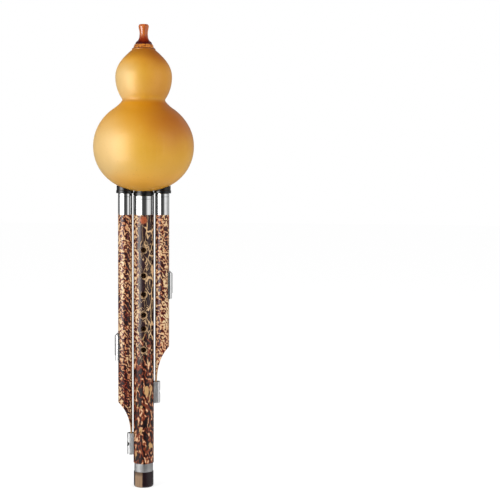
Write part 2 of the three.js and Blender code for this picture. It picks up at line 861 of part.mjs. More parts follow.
function makeStopKey(side) {
  const bottom = side.keyBottom;
  const top = bottom + keyLength;
  const mouthAngle = keyChannelAngle - keyLipAngle;
  const mouth = ringSector(
    keyInner - gap,
    keyLipTop + gap,
    -mouthAngle,
    mouthAngle,
    bottom - overrun,
    top - keyEndWall,
  );
  const channel = ringSector(
    keyLipTop,
    keyRoof,
    -keyChannelAngle,
    keyChannelAngle,
    bottom - overrun,
    top - keyEndWall,
  );
  const drone = disc(keyInner, bottom - overrun, top + overrun, pipeSides);
  const blank = backedBlock(0, keySideTop, keyOuter, keyHalfWidth, bottom, top);
  const shell = blank.intersect(keyEnvelope(bottom)).subtract(drone);
  return shell.subtract(mouth).subtract(channel);
}

function makeKeyPad(side) {
  const { padCentre } = droneHeights(side);
  return ringSector(
    keyInner,
    keyRoof - thinGap,
    -padHalfAngle,
    padHalfAngle,
    padCentre - padLength / 2,
    padCentre + padLength / 2,
  );
}

// Tail sleeve, its spacer and its screw. The melody pipe's axis lies at -droneOffset on X here.

const sleeveCentre = melodyRadius + sleeveHalfDepth - sleeveBite - droneOffset;

function melodyRound(grown, bottom, top) {
  return disc(melodyRadius + grown, bottom, top, pipeSides).translate([-droneOffset, 0, 0]);
}

function makeTailSleeve({ sleeveBottom, holeTurn }, hand) {
  const top = sleeveBottom + sleeveHeight;
  const straight = sleeveHalfDepth - sleeveBack;
  const start = -sleeveHalfDepth;
  const blank = backedBlock(start, straight, sleeveHalfDepth, sleeveHalfWidth, sleeveBottom, top);
  const room = backedBlock(
    start - gap,
    straight,
    sleeveHalfDepth - sleeveWall,
    sleeveHalfWidth - sleeveWall,
    sleeveBottom + sleeveFloor,
    top + overrun,
  );
  const far = sleeveHalfDepth + overrun;
  const envelope = slab(
    polygon([
      [-far, sleeveBottom],
      ...roundedFoot(sleeveHalfDepth, sleeveRound, sleeveBottom),
      [far, sleeveBottom + sleeveRound],
      [far, top + overrun],
      [-far, top + overrun],
    ]),
    far,
  );
  const middle = sleeveBottom + sleeveHeight / 2;
  const hole = rodAlongX(sleeveHoleRadius, 0, far, middle, smallSides);
  return blank
    .intersect(envelope)
    .subtract(room)
    .subtract(hole.rotate([0, 0, -hand * holeTurn]))
    .translate([sleeveCentre, 0, 0])
    .subtract(melodyRound(gap, sleeveBottom - overrun, top + overrun));
}

function makeTailScrew({ sleeveBottom }) {
  const height = sleeveBottom + sleeveHeight / 2;
  const seat = tongueFace + thinGap;
  const tip = melodyRadius - tailScrewBite - droneOffset;
  const shank = rodAlongX(tailScrewRadius, tip, seat + thinGap, height, tinySides);
  return shank.add(rodAlongX(tailScrewHead, seat, seat + tailScrewHeadHeight, height, tinySides));
}

function makeTailSpacer({ sleeveBottom }) {
  const height = sleeveBottom + sleeveHeight / 2;
  const [bottom, top] = [height - spacerHalfHeight, height + spacerHalfHeight];
  const face = -droneRadius - thinGap;
  const block = boxBetween(
    [melodyRadius - overrun - droneOffset, -spacerHalfWidth, bottom],
    [face, spacerHalfWidth, top],
  );
  const hole = rodAlongX(tailScrewRadius + thinGap, -droneOffset, 0, height, tinySides);
  return block.subtract(melodyRound(thinGap, bottom - overrun, top + overrun)).subtract(hole);
}

// Assembly

function addVoiceJoint(group, voice) {
  const joint = jointOf(voice);
  const [upper, lower] = ringHeights(joint);
  const pieces = [
    ["ferrule", makeFerrule(joint), "chrome"],
    ["tenon", makeTenon(joint), "brass"],
    ["upper_o_ring", makeRing(joint, upper), "rubber"],
    ["lower_o_ring", makeRing(joint, lower), "rubber"],
    ["reed_tube", makeReedTube(joint), "reedTube"],
    ["reed_plate", makeReedPlate(joint), "brass"],
    ["reed_tongue", makeReedTongue(joint), "brass"],
    ["reed_cap", makeReedCap(joint), "cork"],
  ];
  const place = new THREE.Group();
  place.position.x = joint.x;
  for (const [name, solid, finish] of pieces) place.add(meshOf(`${voice}_${name}`, solid, finish));
  group.add(place, meshOf(`${voice}_seat`, makeSeat(joint), "blackPlastic"));
}

function addDrone(group, name, side) {
  const hand = name === "left" ? -1 : 1;
  const [lowScrew, highScrew] = keyScrewHeights(droneHeights(side));
  const place = new THREE.Group();
  place.position.x = hand * droneOffset;
  place.rotation.z = side.turn;
  place.add(
    meshOf(`${name}_drone_pipe`, makeDronePipe(side), "bamboo"),
    meshOf(`${name}_drone_plug`, makeDronePlug(side), "cork"),
    meshOf(`${name}_key_track`, makeKeyTrack(side), "chrome"),
    meshOf(`${name}_key_lower_screw`, makeKeyScrew(lowScrew), "steel"),
    meshOf(`${name}_key_upper_screw`, makeKeyScrew(highScrew), "steel"),
    meshOf(`${name}_stop_key`, makeStopKey(side), "chrome"),
    meshOf(`${name}_key_pad`, makeKeyPad(side), "felt"),
    meshOf(`${name}_tail_sleeve`, makeTailSleeve(side, hand), "chrome"),
    meshOf(`${name}_tail_screw`, makeTailScrew(side), "steel"),
    meshOf(`${name}_tail_spacer`, makeTailSpacer(side), "cork"),
  );
  group.add(place);
}

const hulusi = new THREE.Group();
hulusi.name = "hulusi";
hulusi.add(
  meshOf("gourd", makeGourd(), "gourd"),
  meshOf("mouthpiece", makeMouthpiece(), "amber"),
  meshOf("mouthpiece_collar", makeMouthpieceCollar(), "amber"),
  meshOf("mouthpiece_cork", makeMouthpieceCork(), "cork"),
  meshOf("melody_pipe", makeMelodyPipe(), "bamboo"),
  meshOf("end_ring", makeEndRing(), "chrome"),
  meshOf("end_cap", makeEndCap(), "horn"),
);
for (const voice of ["melody", "left", "right"]) addVoiceJoint(hulusi, voice);
for (const [name, side] of Object.entries(sides)) addDrone(hulusi, name, side);

export default hulusi;
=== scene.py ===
# The looks of a hulusi: a gourd on three pipes of mottled bamboo, with metal, horn and resin fittings.
# The front, with the finger holes, faces -Y. Left and right are as seen from the front.
# Named lengths are in millimetres, and meshes are turned to metres where they are made.
from math import cos, hypot, pi, radians, sin, tan
from types import SimpleNamespace as Sizes

import bmesh
import bpy
from mathutils import Matrix, Vector, noise


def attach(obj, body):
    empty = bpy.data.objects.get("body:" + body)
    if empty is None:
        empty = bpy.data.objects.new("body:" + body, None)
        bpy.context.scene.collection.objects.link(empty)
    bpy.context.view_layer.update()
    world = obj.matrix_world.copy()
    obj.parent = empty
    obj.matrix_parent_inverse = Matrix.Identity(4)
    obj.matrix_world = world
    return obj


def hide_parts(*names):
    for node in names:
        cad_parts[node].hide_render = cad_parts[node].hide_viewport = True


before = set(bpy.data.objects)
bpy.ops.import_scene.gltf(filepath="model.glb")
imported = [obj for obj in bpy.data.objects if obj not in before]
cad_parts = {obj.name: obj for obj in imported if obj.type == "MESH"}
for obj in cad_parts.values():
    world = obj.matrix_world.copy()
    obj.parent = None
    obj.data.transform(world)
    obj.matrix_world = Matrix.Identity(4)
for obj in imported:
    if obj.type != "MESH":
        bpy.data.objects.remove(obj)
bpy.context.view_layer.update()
MM = 0.001

# Facets
PIPE_SIDES = 96
SMALL_SIDES = 48
GOURD_SIDES = 144
BELLY_POINTS = 60  # of the gourd's outline, from its lowest point to the waist
SLOPE_STEP = 0.09  # up and down, to find how the gourd's outline slopes
ROUND_STEPS = 3
SUPPORT = 0.12  # from a rounded edge to the next ring of points
OVERRUN = 5  # how far a cutter runs past what it cuts
GAP = 0.3
FINE_EDGE = 0.2
SOFT_EDGE = 0.3

# Gourd
GOURD_WALL = 3.2
BELLY_RADIUS = 47.6
BELLY_LOWER = 42.4
BELLY_UPPER = 44.3
BELLY_FULLNESS_SHARE = 1.03
BELLY_TO_CROWN = 65.1
CROWN_RADIUS = 26.7
CROWN_LOWER = 31.9
CROWN_UPPER = 24.9
CROWN_TO_NECK = 26.8
WAIST_BLEND = 17
NECK_RADIUS = 10
NECK_BLEND = 13.3
NECK_HOLE = 7
NECK_EDGE = 0.4
NECK_ROOM = 1  # how far the inner outline stays from the neck's hole and top
UNEVENNESS = 0.35  # the deepest hollow of the grown surface
UNEVEN_FADE = 14  # how far from the cut ends the unevenness fades
UNEVEN_START_SHARE = 0.6
LUMP_SIZE = 34
SMALL_LUMP_SIZE = 15

# Mouthpiece
MOUTHPIECE_HEIGHT = 18.8
MOUTHPIECE_FLARE = 8
MOUTHPIECE_BORE = 3.1
MOUTHPIECE_LIP = 0.5
STEM_RADIUS = 5.6
STEM_LENGTH = 15.2
STEM_EDGE = 0.5
CORK_THICKNESS = 0.8
CORK_INSET = 1.2
CORK_EDGE = 0.25
COLLAR_HEIGHT = 3.6
COLLAR_TOP_RADIUS = 8.7
COLLAR_FOOT_RADIUS = 9.9
COLLAR_FOOT_EDGE = 0.35
COLLAR_TOP_EDGE = 0.45
MOUTHPIECE_SHARES = [
    [1, 0], [0.985, 0.04], [0.95, 0.08], [0.88, 0.13], [0.735, 0.175], [0.65, 0.225], [0.575, 0.28],
    [0.52, 0.37], [0.485, 0.52], [0.49, 0.62], [0.53, 0.72], [0.58, 0.82], [0.604, 0.885], [0.6, 0.92],
    [0.55, 0.97], [0.47, 1],
]

# Melody pipe
MELODY_RADIUS = 9.7
MELODY_BORE = 6.75
FOOT_SPIGOT_WALL = 1.45
END_CAP_HEIGHT = 14.8
END_CAP_INSET = 0.3
END_CAP_FLOOR = 4.7
END_CAP_ROUND = 1.7
END_CAP_BORE_EDGE = 0.4
END_CAP_TOP_EDGE = 0.25
END_RING_HEIGHT = 8.3
END_RING_INSET = 0.75
END_RING_GROOVES = 5
END_RING_GROOVE_SHARES = (0.38, 0.9)
END_RING_GROOVE_DEPTH = 0.14
STAVE_LENGTH = 237
TOP_SPIGOT = 6
FINGER_HOLE = 2.5
TONE_HOLE = 2.6
CORD_HOLE = 1.3
HOLE_DISH = 0.35  # how far a hole's edge is softened
FINGER_HOLE_SHARES = [0.461, 0.546, 0.601, 0.6835, 0.758, 0.8605]
THUMB_HOLE_SHARE = 0.93
TONE_HOLE_SHARE = 0.235
CORD_HOLE_SHARE = 0.06

# Drones
DRONE_RADIUS = 6.7
DRONE_BORE = 4.25
PIPE_GAP = 1.1
DRONE_OFFSET = MELODY_RADIUS + PIPE_GAP + DRONE_RADIUS
TONGUE_THICKNESS = 1.85
TONGUE_HALF_WIDTH = 2.3
TONGUE_END_RISE = 6.9
TONGUE_FACE = -DRONE_RADIUS + TONGUE_THICKNESS
BEVEL_TURN_SHARE = 0.3
BEVEL_STEPS = 28
TAPER_TOP_SHARE = 0.6
SKIN_FACING = 0.6  # how far a face of the skin must face outwards, where 1 is straight out

# Joints with the gourd
TENON_GAP = 0.4
SEAT_GAP = 0.2
SEAT_DROP = 3.7
SEAT_WALL = 1.1
SPIGOT_RISE = 10
FLANGE_THICKNESS = 2.6
FLANGE_EDGE = 0.5
FLANGE_GAP = 0.35  # between the melody seat's flange and a drone's
COLLAR_STEP = 0.4
COLLAR_REACH = 12
RING_PROUD = 0.25
RING_SHARES = [0.35, 0.7]
THIN_GAP = 0.15
FERRULE_EDGE = 0.3
LINE_DROP = 3  # of the turned line below a ferrule's top
LINE_DEPTH = 0.15
MELODY_VOICE = Sizes(
    x=0, ferrule=MELODY_RADIUS + 0.05, ferrule_height=18, ferrule_wall=0.95, shoulder=1.8,
    tenon_wall=1.1, shank_rise=12.1, flange=MELODY_RADIUS + 0.1, ring=0.75,
)


def drone_voice(x):
    return Sizes(
        x=x, ferrule=DRONE_RADIUS, ferrule_height=20.2, ferrule_wall=0.8, shoulder=0.7,
        tenon_wall=0.9, shank_rise=14.1, flange=DRONE_RADIUS + 1.7, ring=0.5,
    )


VOICES = {"melody": MELODY_VOICE, "left": drone_voice(-DRONE_OFFSET), "right": drone_voice(DRONE_OFFSET)}

# Stop keys, their tracks and the tail sleeves
KEY_LENGTH = 26.4
KEY_TRAVEL = 9
KEY_HALF_WIDTH = 4.4
KEY_SIDE_RISE = 0.4
KEY_CHANNEL_ANGLE = 27
KEY_LIP_ANGLE = 5.5
KEY_HEIGHT = 3.2
KEY_STEP_DROP = 0.7
KEY_STEP_LENGTH = 4.6
KEY_STEP_RISE = 1.1
KEY_TOP_SLOPE = 2.6
KEY_TOP_HEIGHT = 0.9
KEY_END_WALL = 2
KEY_EDGE = 0.4
TRACK_INNER = DRONE_RADIUS + THIN_GAP
TRACK_OUTER = TRACK_INNER + 0.5
TRACK_FLANGE_BOTTOM = TRACK_OUTER + 0.35
TRACK_FLANGE_TOP = TRACK_FLANGE_BOTTOM + 0.45
TRACK_INSET = 0.4
TRACK_HALF_ANGLE = 19
TRACK_WEB_ANGLE = 5
TRACK_FLANGE_ANGLE = 5.5
SLOT_HALF_ANGLE = 13.5
SLOT_END = 3.4
PAD_LENGTH = 6
TRACK_LENGTH = 2 * SLOT_END + PAD_LENGTH + KEY_TRAVEL + 2 * GAP
SOUND_HOLE = 1.05
KEY_SCREW = Sizes(radius=0.7, head=1.35, head_height=0.6)
KEY_SCREW_LENGTH = 1.4
SLEEVE_HALF_DEPTH = 3.55  # away from the melody pipe
SLEEVE_HALF_WIDTH = 3.4
SLEEVE_BACK = 2.6
SLEEVE_WALL = 0.6
SLEEVE_HEIGHT = 20.5
SLEEVE_FLOOR = 1
SLEEVE_ROUND = 1.3
SLEEVE_LIP_EDGE = 0.25
SLEEVE_ROOM_SHARE = 0.94  # of the way out to the rounded back
SLEEVE_BITE = 1.05
SLEEVE_HOLE = 2.35
TAIL_SCREW = Sizes(radius=0.8, head=1.55, head_height=0.9)
TAIL_SCREW_BITE = 1.2
DRIVE_DEPTH = 0.35
DRIVE_WIDTH = 0.4
DRIVE_REACH_SHARE = 0.62
SCREW_ROUND_SHARE = 0.7
SIDES = {
    "left": Sizes(hand=-1, sleeve_bottom=31.1, tail=30.1, key_bottom=121.3, hole_turn=26),
    "right": Sizes(hand=1, sleeve_bottom=80.6, tail=33.7, key_bottom=180.4, hole_turn=4),
}
for side in SIDES.values():
    side.sleeve_middle = side.sleeve_bottom + SLEEVE_HEIGHT / 2
    side.sleeve_top = side.sleeve_bottom + SLEEVE_HEIGHT
    side.pipe_bottom = side.sleeve_bottom + TONGUE_END_RISE
    side.bevel_top = side.sleeve_top + side.tail
    side.track_bottom = side.key_bottom + TRACK_INSET
    side.track_top = side.track_bottom + TRACK_LENGTH
    side.pad_middle = side.track_bottom + SLOT_END + GAP + PAD_LENGTH / 2
    side.screws = [side.track_bottom + SLOT_END / 2, side.track_top - SLOT_END / 2]

# Heights that follow
STAVE_BOTTOM = END_CAP_HEIGHT + END_RING_HEIGHT
STAVE_TOP = STAVE_BOTTOM + STAVE_LENGTH
TENON_BOTTOM = STAVE_TOP + TOP_SPIGOT + GAP
GOURD_BOTTOM = STAVE_TOP + MELODY_VOICE.ferrule_height + SEAT_GAP + SEAT_DROP
BELLY_CENTRE = GOURD_BOTTOM + BELLY_LOWER
CROWN_CENTRE = BELLY_CENTRE + BELLY_TO_CROWN
GOURD_TOP = CROWN_CENTRE + CROWN_TO_NECK
MOUTHPIECE_FOOT = GOURD_TOP + COLLAR_HEIGHT


# Meshes

def bend(start, corner, end, steps):
    """Points of a curve from start to end that bends towards the corner."""
    shares = [step / steps for step in range(steps + 1)]
    return [
        start * (1 - share) ** 2 + corner * 2 * share * (1 - share) + end * share ** 2
        for share in shares
    ]


def rounded(corners):
    """A loop of (radius, height) points. A corner's third number is the radius it is rounded to."""
    points = []
    for place, corner in enumerate(corners):
        here = Vector(corner[:2])
        if len(corner) < 3:
            points.append(here)
            continue
        before = (Vector(corners[place - 1][:2]) - here).normalized()
        after = (Vector(corners[(place + 1) % len(corners)][:2]) - here).normalized()
        cut = corner[2] / tan(before.angle(after) / 2)
        start, end = here + before * cut, here + after * cut
        points.append(start + before * SUPPORT)
        points += bend(start, here, end, ROUND_STEPS)
        points.append(end + after * SUPPORT)
    return [(point.x, point.y) for point in points]


def mesh_of(points, faces):
    """A mesh in metres, from points in millimetres, with its faces turned outwards."""
    made = bmesh.new()
    corners = [made.verts.new(Vector(point) * MM) for point in points]
    for face in faces:
        if len(set(face)) > 2:
            made.faces.new([corners[index] for index in dict.fromkeys(face)])
    loose = [corner for corner in made.verts if not corner.link_faces]
    bmesh.ops.delete(made, geom=loose, context="VERTS")
    bmesh.ops.recalc_face_normals(made, faces=made.faces)
    mesh = bpy.data.meshes.new("part")
    made.to_mesh(mesh)
    made.free()
    return mesh


def revolve(outline, sides=PIPE_SIDES, reshape=None):
    """A closed loop of (radius, height) points, turned round Z. reshape moves a point."""
    points, faces, rows = [], [], []
    for radius, height in outline:
        count = sides if radius > 0 else 1
        rows.append([len(points) + index % count for index in range(sides)])
        for index in range(count):
            angle = 2 * pi * index / sides
            point = Vector((radius * sin(angle), -radius * cos(angle), height))
            points.append(reshape(point) if reshape else point)
    for place, row in enumerate(rows):
        above = rows[(place + 1) % len(rows)]
        if outline[place][0] == 0 and outline[(place + 1) % len(rows)][0] == 0:
            continue
        for index in range(sides):
            beside = (index + 1) % sides
            faces.append([row[index], row[beside], above[beside], above[index]])
    return mesh_of(points, faces)


def lofted(rows):
    """A solid between equal loops of points, closed at both ends."""
    count = len(rows[0])
    points = [point for row in rows for point in row]
    faces = []
    for start in range(0, len(points) - count, count):
        for place in range(count):
            beside = start + (place + 1) % count
            faces.append([start + place, beside, count + beside, start + count + place])
    ends = [list(range(count)), list(range(len(points) - count, len(points)))]
    return mesh_of(points, faces + ends)


def ring_piece(inner, outer, half_angle, bottom, top, middle=0, steps=24):
    """Part of a ring, to both sides of an angle from +X."""
    turns = [radians(half_angle) * (2 * step / steps - 1) for step in range(steps + 1)]
    loop = [(inner, bottom), (outer, bottom), (outer, top), (inner, top)]
    rows = [[(r * cos(angle), r * sin(angle), z) for r, z in loop] for angle in turns]
    return moved(lofted(rows), turn(middle))


def prism(outline, half_depth):
    """A closed loop of (x, z) points, given depth on both sides of the XZ plane."""
    return lofted([[(x, y, z) for x, z in outline] for y in (-half_depth, half_depth)])


def rod(radius, bottom, top, sides=SMALL_SIDES):
    return revolve([(0, bottom), (radius, bottom), (radius, top), (0, top)], sides)


def moved(mesh, *matrices):
    for matrix in matrices:
        mesh.transform(matrix)
    return mesh


def shift(x=0, z=0):
    return Matrix.Translation(Vector((x, 0, z)) * MM)


def turn(degrees, axis="Z"):
    return Matrix.Rotation(radians(degrees), 4, axis)


def rod_along_x(radius, start, end, height):
    return moved(rod(radius, start, end), turn(90, "Y"), shift(z=height))


def joined(*meshes):
    """Several meshes that don't touch, as one."""
    together = bmesh.new()
    for mesh in meshes:
        together.from_mesh(mesh)
    mesh = bpy.data.meshes.new("part")
    together.to_mesh(mesh)
    together.free()
    return mesh


def placed(name, data):
    """A new object in the scene."""
    thing = bpy.data.objects.new(name, data)
    bpy.context.scene.collection.objects.link(thing)
    return thing


def combined(base, tool, operation):
    carrier, other = placed("carrier", base), placed("tool", tool)
    modifier = carrier.modifiers.new("combine", "BOOLEAN")
    modifier.solver = "MANIFOLD"
    modifier.operation = operation
    modifier.object = other
    bpy.context.view_layer.update()
    result = bpy.data.meshes.new_from_object(carrier.evaluated_get(bpy.context.evaluated_depsgraph_get()))
    bpy.data.objects.remove(carrier)
    bpy.data.objects.remove(other)
    return result


def cut(base, *tools):
    for tool in tools:
        base = combined(base, tool, "DIFFERENCE")
    return base


def add_piece(name, mesh, body, finish, sharp=32, second=None, is_second=None):
    """One visible piece. Faces for which is_second holds take the second finish."""
    mesh.shade_smooth()
    mesh.set_sharp_from_angle(angle=radians(sharp))
    mesh.materials.clear()
    mesh.materials.append(finish)
    if second:
        mesh.materials.append(second)
    for face in mesh.polygons:
        face.material_index = 1 if second and is_second(face.center / MM, face.normal) else 0
    mesh.name = name
    piece = placed(name, mesh)
    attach(piece, body)
    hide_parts(name.removesuffix("_fine"))


# Materials

def colour(red, green, blue):
    """The linear colour of three levels from 0 to 255."""
    levels = [level / 255 for level in (red, green, blue)]
    return [level / 12.92 if level <= 0.04045 else ((level + 0.055) / 1.055) ** 2.4 for level in levels] + [1]


def shown(shade):
    """Levels as a colour. A colour or a value stays as it is."""
    return colour(*shade) if isinstance(shade, tuple) else shade


class Value:
    """What a node gives out. Sums and products of values are nodes too."""

    def __init__(self, nodes, socket):
        self.nodes = nodes
        self.socket = socket

    def __add__(self, other):
        return self.nodes.calc("ADD", self, other)

    def __sub__(self, other):
        return self.nodes.calc("SUBTRACT", self, other)

    def __rsub__(self, other):
        return self.nodes.calc("SUBTRACT", other, self)

    def __mul__(self, other):
        return self.nodes.calc("MULTIPLY", self, other)

    def __truediv__(self, other):
        return self.nodes.calc("DIVIDE", self, other)

    __radd__ = __add__


class Nodes:
    """The nodes of a material or of the world."""

    def __init__(self, tree):
        self.tree = tree

    def node(self, kind, inputs, output=0, **settings):
        made = self.tree.nodes.new("ShaderNode" + kind)
        for setting, value in settings.items():
            setattr(made, setting, value)
        for socket, value in inputs.items():
            self.feed(made.inputs[socket], value)
        return Value(self, made.outputs[output])

    def feed(self, socket, value):
        if isinstance(value, Value):
            self.tree.links.new(value.socket, socket)
        else:
            socket.default_value = value

    def calc(self, operation, *values):
        return self.node("Math", dict(enumerate(values)), operation=operation)

    def most(self, first, *others):
        for other in others:
            first = self.calc("MAXIMUM", first, other)
        return first

    def least(self, first, *others):
        for other in others:
            first = self.calc("MINIMUM", first, other)
        return first

    def axes(self, where):
        return [self.node("SeparateXYZ", {0: where}, axis) for axis in range(3)]

    def bearing(self, x, y):
        """The angle round Z, from the front towards +X."""
        return self.calc("ARCTAN2", x, y * -1.0)

    def band(self, value, low, high, **more):
        """0 where the value is at low and 1 where it is at high, with a soft step between them."""
        values = {"Value": value, "From Min": low, "From Max": high, **more}
        return self.node("MapRange", values, interpolation_type="SMOOTHSTEP")

    def sector(self, angle, low, high):
        """A band between two angles in degrees."""
        return self.band(angle, radians(low), radians(high))

    def scaled(self, value, low, high):
        """A value from 0 to 1, spread from low to high."""
        return self.node("MapRange", {"Value": value, "To Min": low, "To Max": high})

    def blend(self, factor, first, second, kind="MIX"):
        inputs = {0: factor, 6: shown(first), 7: shown(second)}
        return self.node("Mix", inputs, 2, data_type="RGBA", blend_type=kind)

    def ramp(self, value, stops):
        made = self.tree.nodes.new("ShaderNodeValToRGB")
        elements = made.color_ramp.elements
        while len(elements) < len(stops):
            elements.new(1)
        for element, (place, stop) in zip(elements, stops):
            element.position = place
            element.color = shown(stop)
        self.feed(made.inputs[0], value)
        return Value(self, made.outputs[0])

    def show(self, shader):
        self.feed(self.tree.nodes.new("ShaderNodeOutputMaterial").inputs[0], shader)

    def seen_directly(self):
        """1 for camera, gloss and transmission rays."""
        kinds = ("Is Camera Ray", "Is Glossy Ray", "Is Transmission Ray")
        return self.most(*[self.node("LightPath", {}, kind) for kind in kinds])


def emptied(name):
    """A new material without nodes, and what adds them."""
    material = bpy.data.materials.new(name)
    material.use_nodes = True
    material.node_tree.nodes.clear()
    return material, Nodes(material.node_tree)


class Finish(Nodes):
    """A material whose patterns follow the piece, in millimetres."""

    def __init__(self, name, **values):
        self.material = bpy.data.materials.new(name)
        self.material.use_nodes = True
        super().__init__(self.material.node_tree)
        self.shader = self.tree.nodes["Principled BSDF"]
        for socket, value in values.items():
            self.shader.inputs[socket.replace("_", " ")].default_value = value
        self.position = self.node("TexCoord", {}, "Object")

    def where(self, stretch=(1, 1, 1), offset=(0, 0, 0)):
        scale = [share / MM for share in stretch]
        return self.node("Mapping", {"Vector": self.position, "Scale": scale, "Location": offset})

    def noise(
        self, size, detail=2.0, stretch=(1, 1, 1), offset=(0, 0, 0), rough=0.5, where=None, output=0, **more,
    ):
        """Noise from 0 to 1, whose lumps are about size across."""
        where = where or self.where(stretch, offset)
        values = {"Vector": where, "Scale": 1 / size, "Detail": detail, "Roughness": rough, **more}
        return self.node("TexNoise", values, output)

    def warped(self, where, size, reach):
        """The place moved about by soft noise, by up to about half the reach each way."""
        push = self.noise(size, 1.0, where=where, output="Color")
        centred = self.node("VectorMath", {0: push, 1: (0.5, 0.5, 0.5)}, operation="SUBTRACT")
        grown = self.node("VectorMath", {0: centred, "Scale": reach}, operation="SCALE")
        return self.node("VectorMath", {0: where, 1: grown}, operation="ADD")

    def over(self, base, mask, share, *levels):
        """The base with a colour laid over it where the mask is 1, as strongly as the share."""
        return self.blend(mask * share, base, levels)

    def finished(self, base, rough, relief, depth):
        """The material, with its colour, its roughness, and a relief from 0 to 1 times the depth."""
        bump = self.node("Bump", {"Height": relief, "Distance": depth * MM, "Strength": 1.0})
        for socket, value in (("Base Color", base), ("Roughness", rough), ("Normal", bump)):
            self.feed(self.shader.inputs[socket], value)
        return self.material


# Heights between which the shades of the gourd, the mouthpiece and the end cap change. On the gourd most of
# them are painted light and painted shade
# painted shade: deeper orange on the top of the belly, under the crown
BELLY_TOP_PAINTED_SHADE = (318, 356)
BELLY_TOP_PAINTED_SHADE_END = (369.5, 364.5)
# painted light, as if bounced up from the floor: paler lower belly and foot
LOWER_BELLY_PAINTED_LIGHT = (322, 292)
FOOT_PAINTED_LIGHT = (306, 286)
# painted shade in the waist's crease
WAIST_PAINTED_SHADE = (364.6, 366.8)
WAIST_PAINTED_SHADE_END = (370.5, 367.6)
# painted light: paler on the crown's underside, above the waist
CROWN_UNDERSIDE_PAINTED_LIGHT = (366, 376)
CROWN_UNDERSIDE_PAINTED_LIGHT_END = (392, 380)
TO_CROWN = (360, 374)
# heights over which the gourd's painted shade on the right grows stronger, up to the crown
RIGHT_SHADE_ON_CROWN = (366, 374)
# painted shade: deeper orange on the top of the crown
CROWN_TOP_PAINTED_SHADE = (390, 412)
# painted shade: darker brown round the neck
NECK_PAINTED_SHADE = (403, 415)
# a dark glue line and painted shade in the groove under the collar
RIM_GLUE_LINE_AND_PAINTED_SHADE = (GOURD_TOP - NECK_ROOM, GOURD_TOP - NECK_ROOM / 2)
RESIN_DARK = (MOUTHPIECE_FOOT + 10.5, MOUTHPIECE_FOOT + 4)
RESIN_MAROON_END = (MOUTHPIECE_FOOT + 1, MOUTHPIECE_FOOT + 5)
HORN_PALE_END = (10.2, 13.4)

# Distances to the right between which they change
# the gourd's painted shade, from none on the left to full on the right
RIGHT_SIDE_PAINTED_SHADE = (-30, 30)
# painted light on the gourd's left, from none at the first distance to full at the second
LEFT_SIDE_PAINTED_LIGHT = (2, -36)
RESIN_STREAK = (0.2, 1.2)
RESIN_STREAK_END = (3.4, 2.4)


def gourd_finish():
    """Lacquered gourd skin: honey yellow with faint growth marks, and painted light and shade: deep orange
    above each swelling and on the right, paler on the left, on the crown's underside, the lower belly and the
    foot, and darker in the waist's crease, round the neck and under the collar.
    """
    made = Finish("gourd_skin", Coat_Weight=0.42, Coat_Roughness=0.3, Specular_IOR_Level=0.25)
    x, _, height = made.axes(made.where())
    cloud = made.noise(38, 3.0, offset=(7, 3, 1), rough=0.55)
    level = height + (cloud - 0.5) * 14.0
    # Across the crown the shades change over a shorter way than across the belly
    across = x * (made.band(height, *TO_CROWN) * 0.8 + 1.0)
    # painted shade: 0 on the left and 1 on the right
    side = made.band(across, *RIGHT_SIDE_PAINTED_SHADE)
    # the belly's top, deeper orange as painted shade, reaching lower on the right
    belly = made.band(level + (side - 0.5) * 16.0, *BELLY_TOP_PAINTED_SHADE) * made.band(height, *BELLY_TOP_PAINTED_SHADE_END)
    # painted shade of deeper orange on the tops of both swellings
    painted_top_shade = made.most(belly, made.band(level, *CROWN_TOP_PAINTED_SHADE))
    # painted light on the crown's underside
    pale = made.band(level, *CROWN_UNDERSIDE_PAINTED_LIGHT) * made.band(level, *CROWN_UNDERSIDE_PAINTED_LIGHT_END)
    base = made.blend(cloud, (228, 178, 58), (217, 161, 36))
    # the painted light laid on the crown's underside
    base = made.over(base, pale, 0.4, 228, 178, 78)
    # painted light on the lower belly
    base = made.over(base, made.band(height, *LOWER_BELLY_PAINTED_LIGHT), 0.8, 255, 200, 84)
    # painted light: paler on the left
    base = made.over(base, made.band(across, *LEFT_SIDE_PAINTED_LIGHT), 0.85, 234, 196, 130)
    streak = made.noise(3.5, 2.0, (1, 1, 0.12))
    base = made.over(base, made.band(streak, 0.52, 0.75), 0.1, 240, 196, 110)
    # painted shade on the right side, stronger on the crown
    base = made.over(base, side, made.band(height, *RIGHT_SHADE_ON_CROWN) * 0.35 + 0.35, 200, 128, 34)
    # painted light at the foot
    base = made.over(base, made.band(level, *FOOT_PAINTED_LIGHT), 0.8, 255, 180, 58)
    # the deeper orange is darker still on the right: painted shade
    orange = made.blend(side, (226, 156, 0), (174, 94, 0))
    # the deeper orange of the painted shade, laid on the tops
    base = made.blend(painted_top_shade * 0.95, base, orange)
    # painted shade round the neck
    base = made.over(base, made.band(height, *NECK_PAINTED_SHADE), 0.6, 150, 76, 0)
    # painted shade in the crease at the waist
    painted_crease_shade = made.band(height, *WAIST_PAINTED_SHADE) * made.band(height, *WAIST_PAINTED_SHADE_END)
    base = made.over(base, painted_crease_shade, 0.5, 180, 112, 14)
    # dark glue line and painted shade under the collar
    base = made.over(base, made.band(height, *RIM_GLUE_LINE_AND_PAINTED_SHADE), 0.85, 84, 40, 12)
    speck = made.noise(1.3, 3.0, offset=(2, 9, 4), rough=0.6)
    base = made.over(base, made.band(speck, 0.60, 0.72), 0.2, 160, 96, 20)
    relief = made.noise(6, 3.0) + speck * 0.25
    return made.finished(base, made.scaled(made.noise(9), 0.38, 0.5), relief, 0.08)


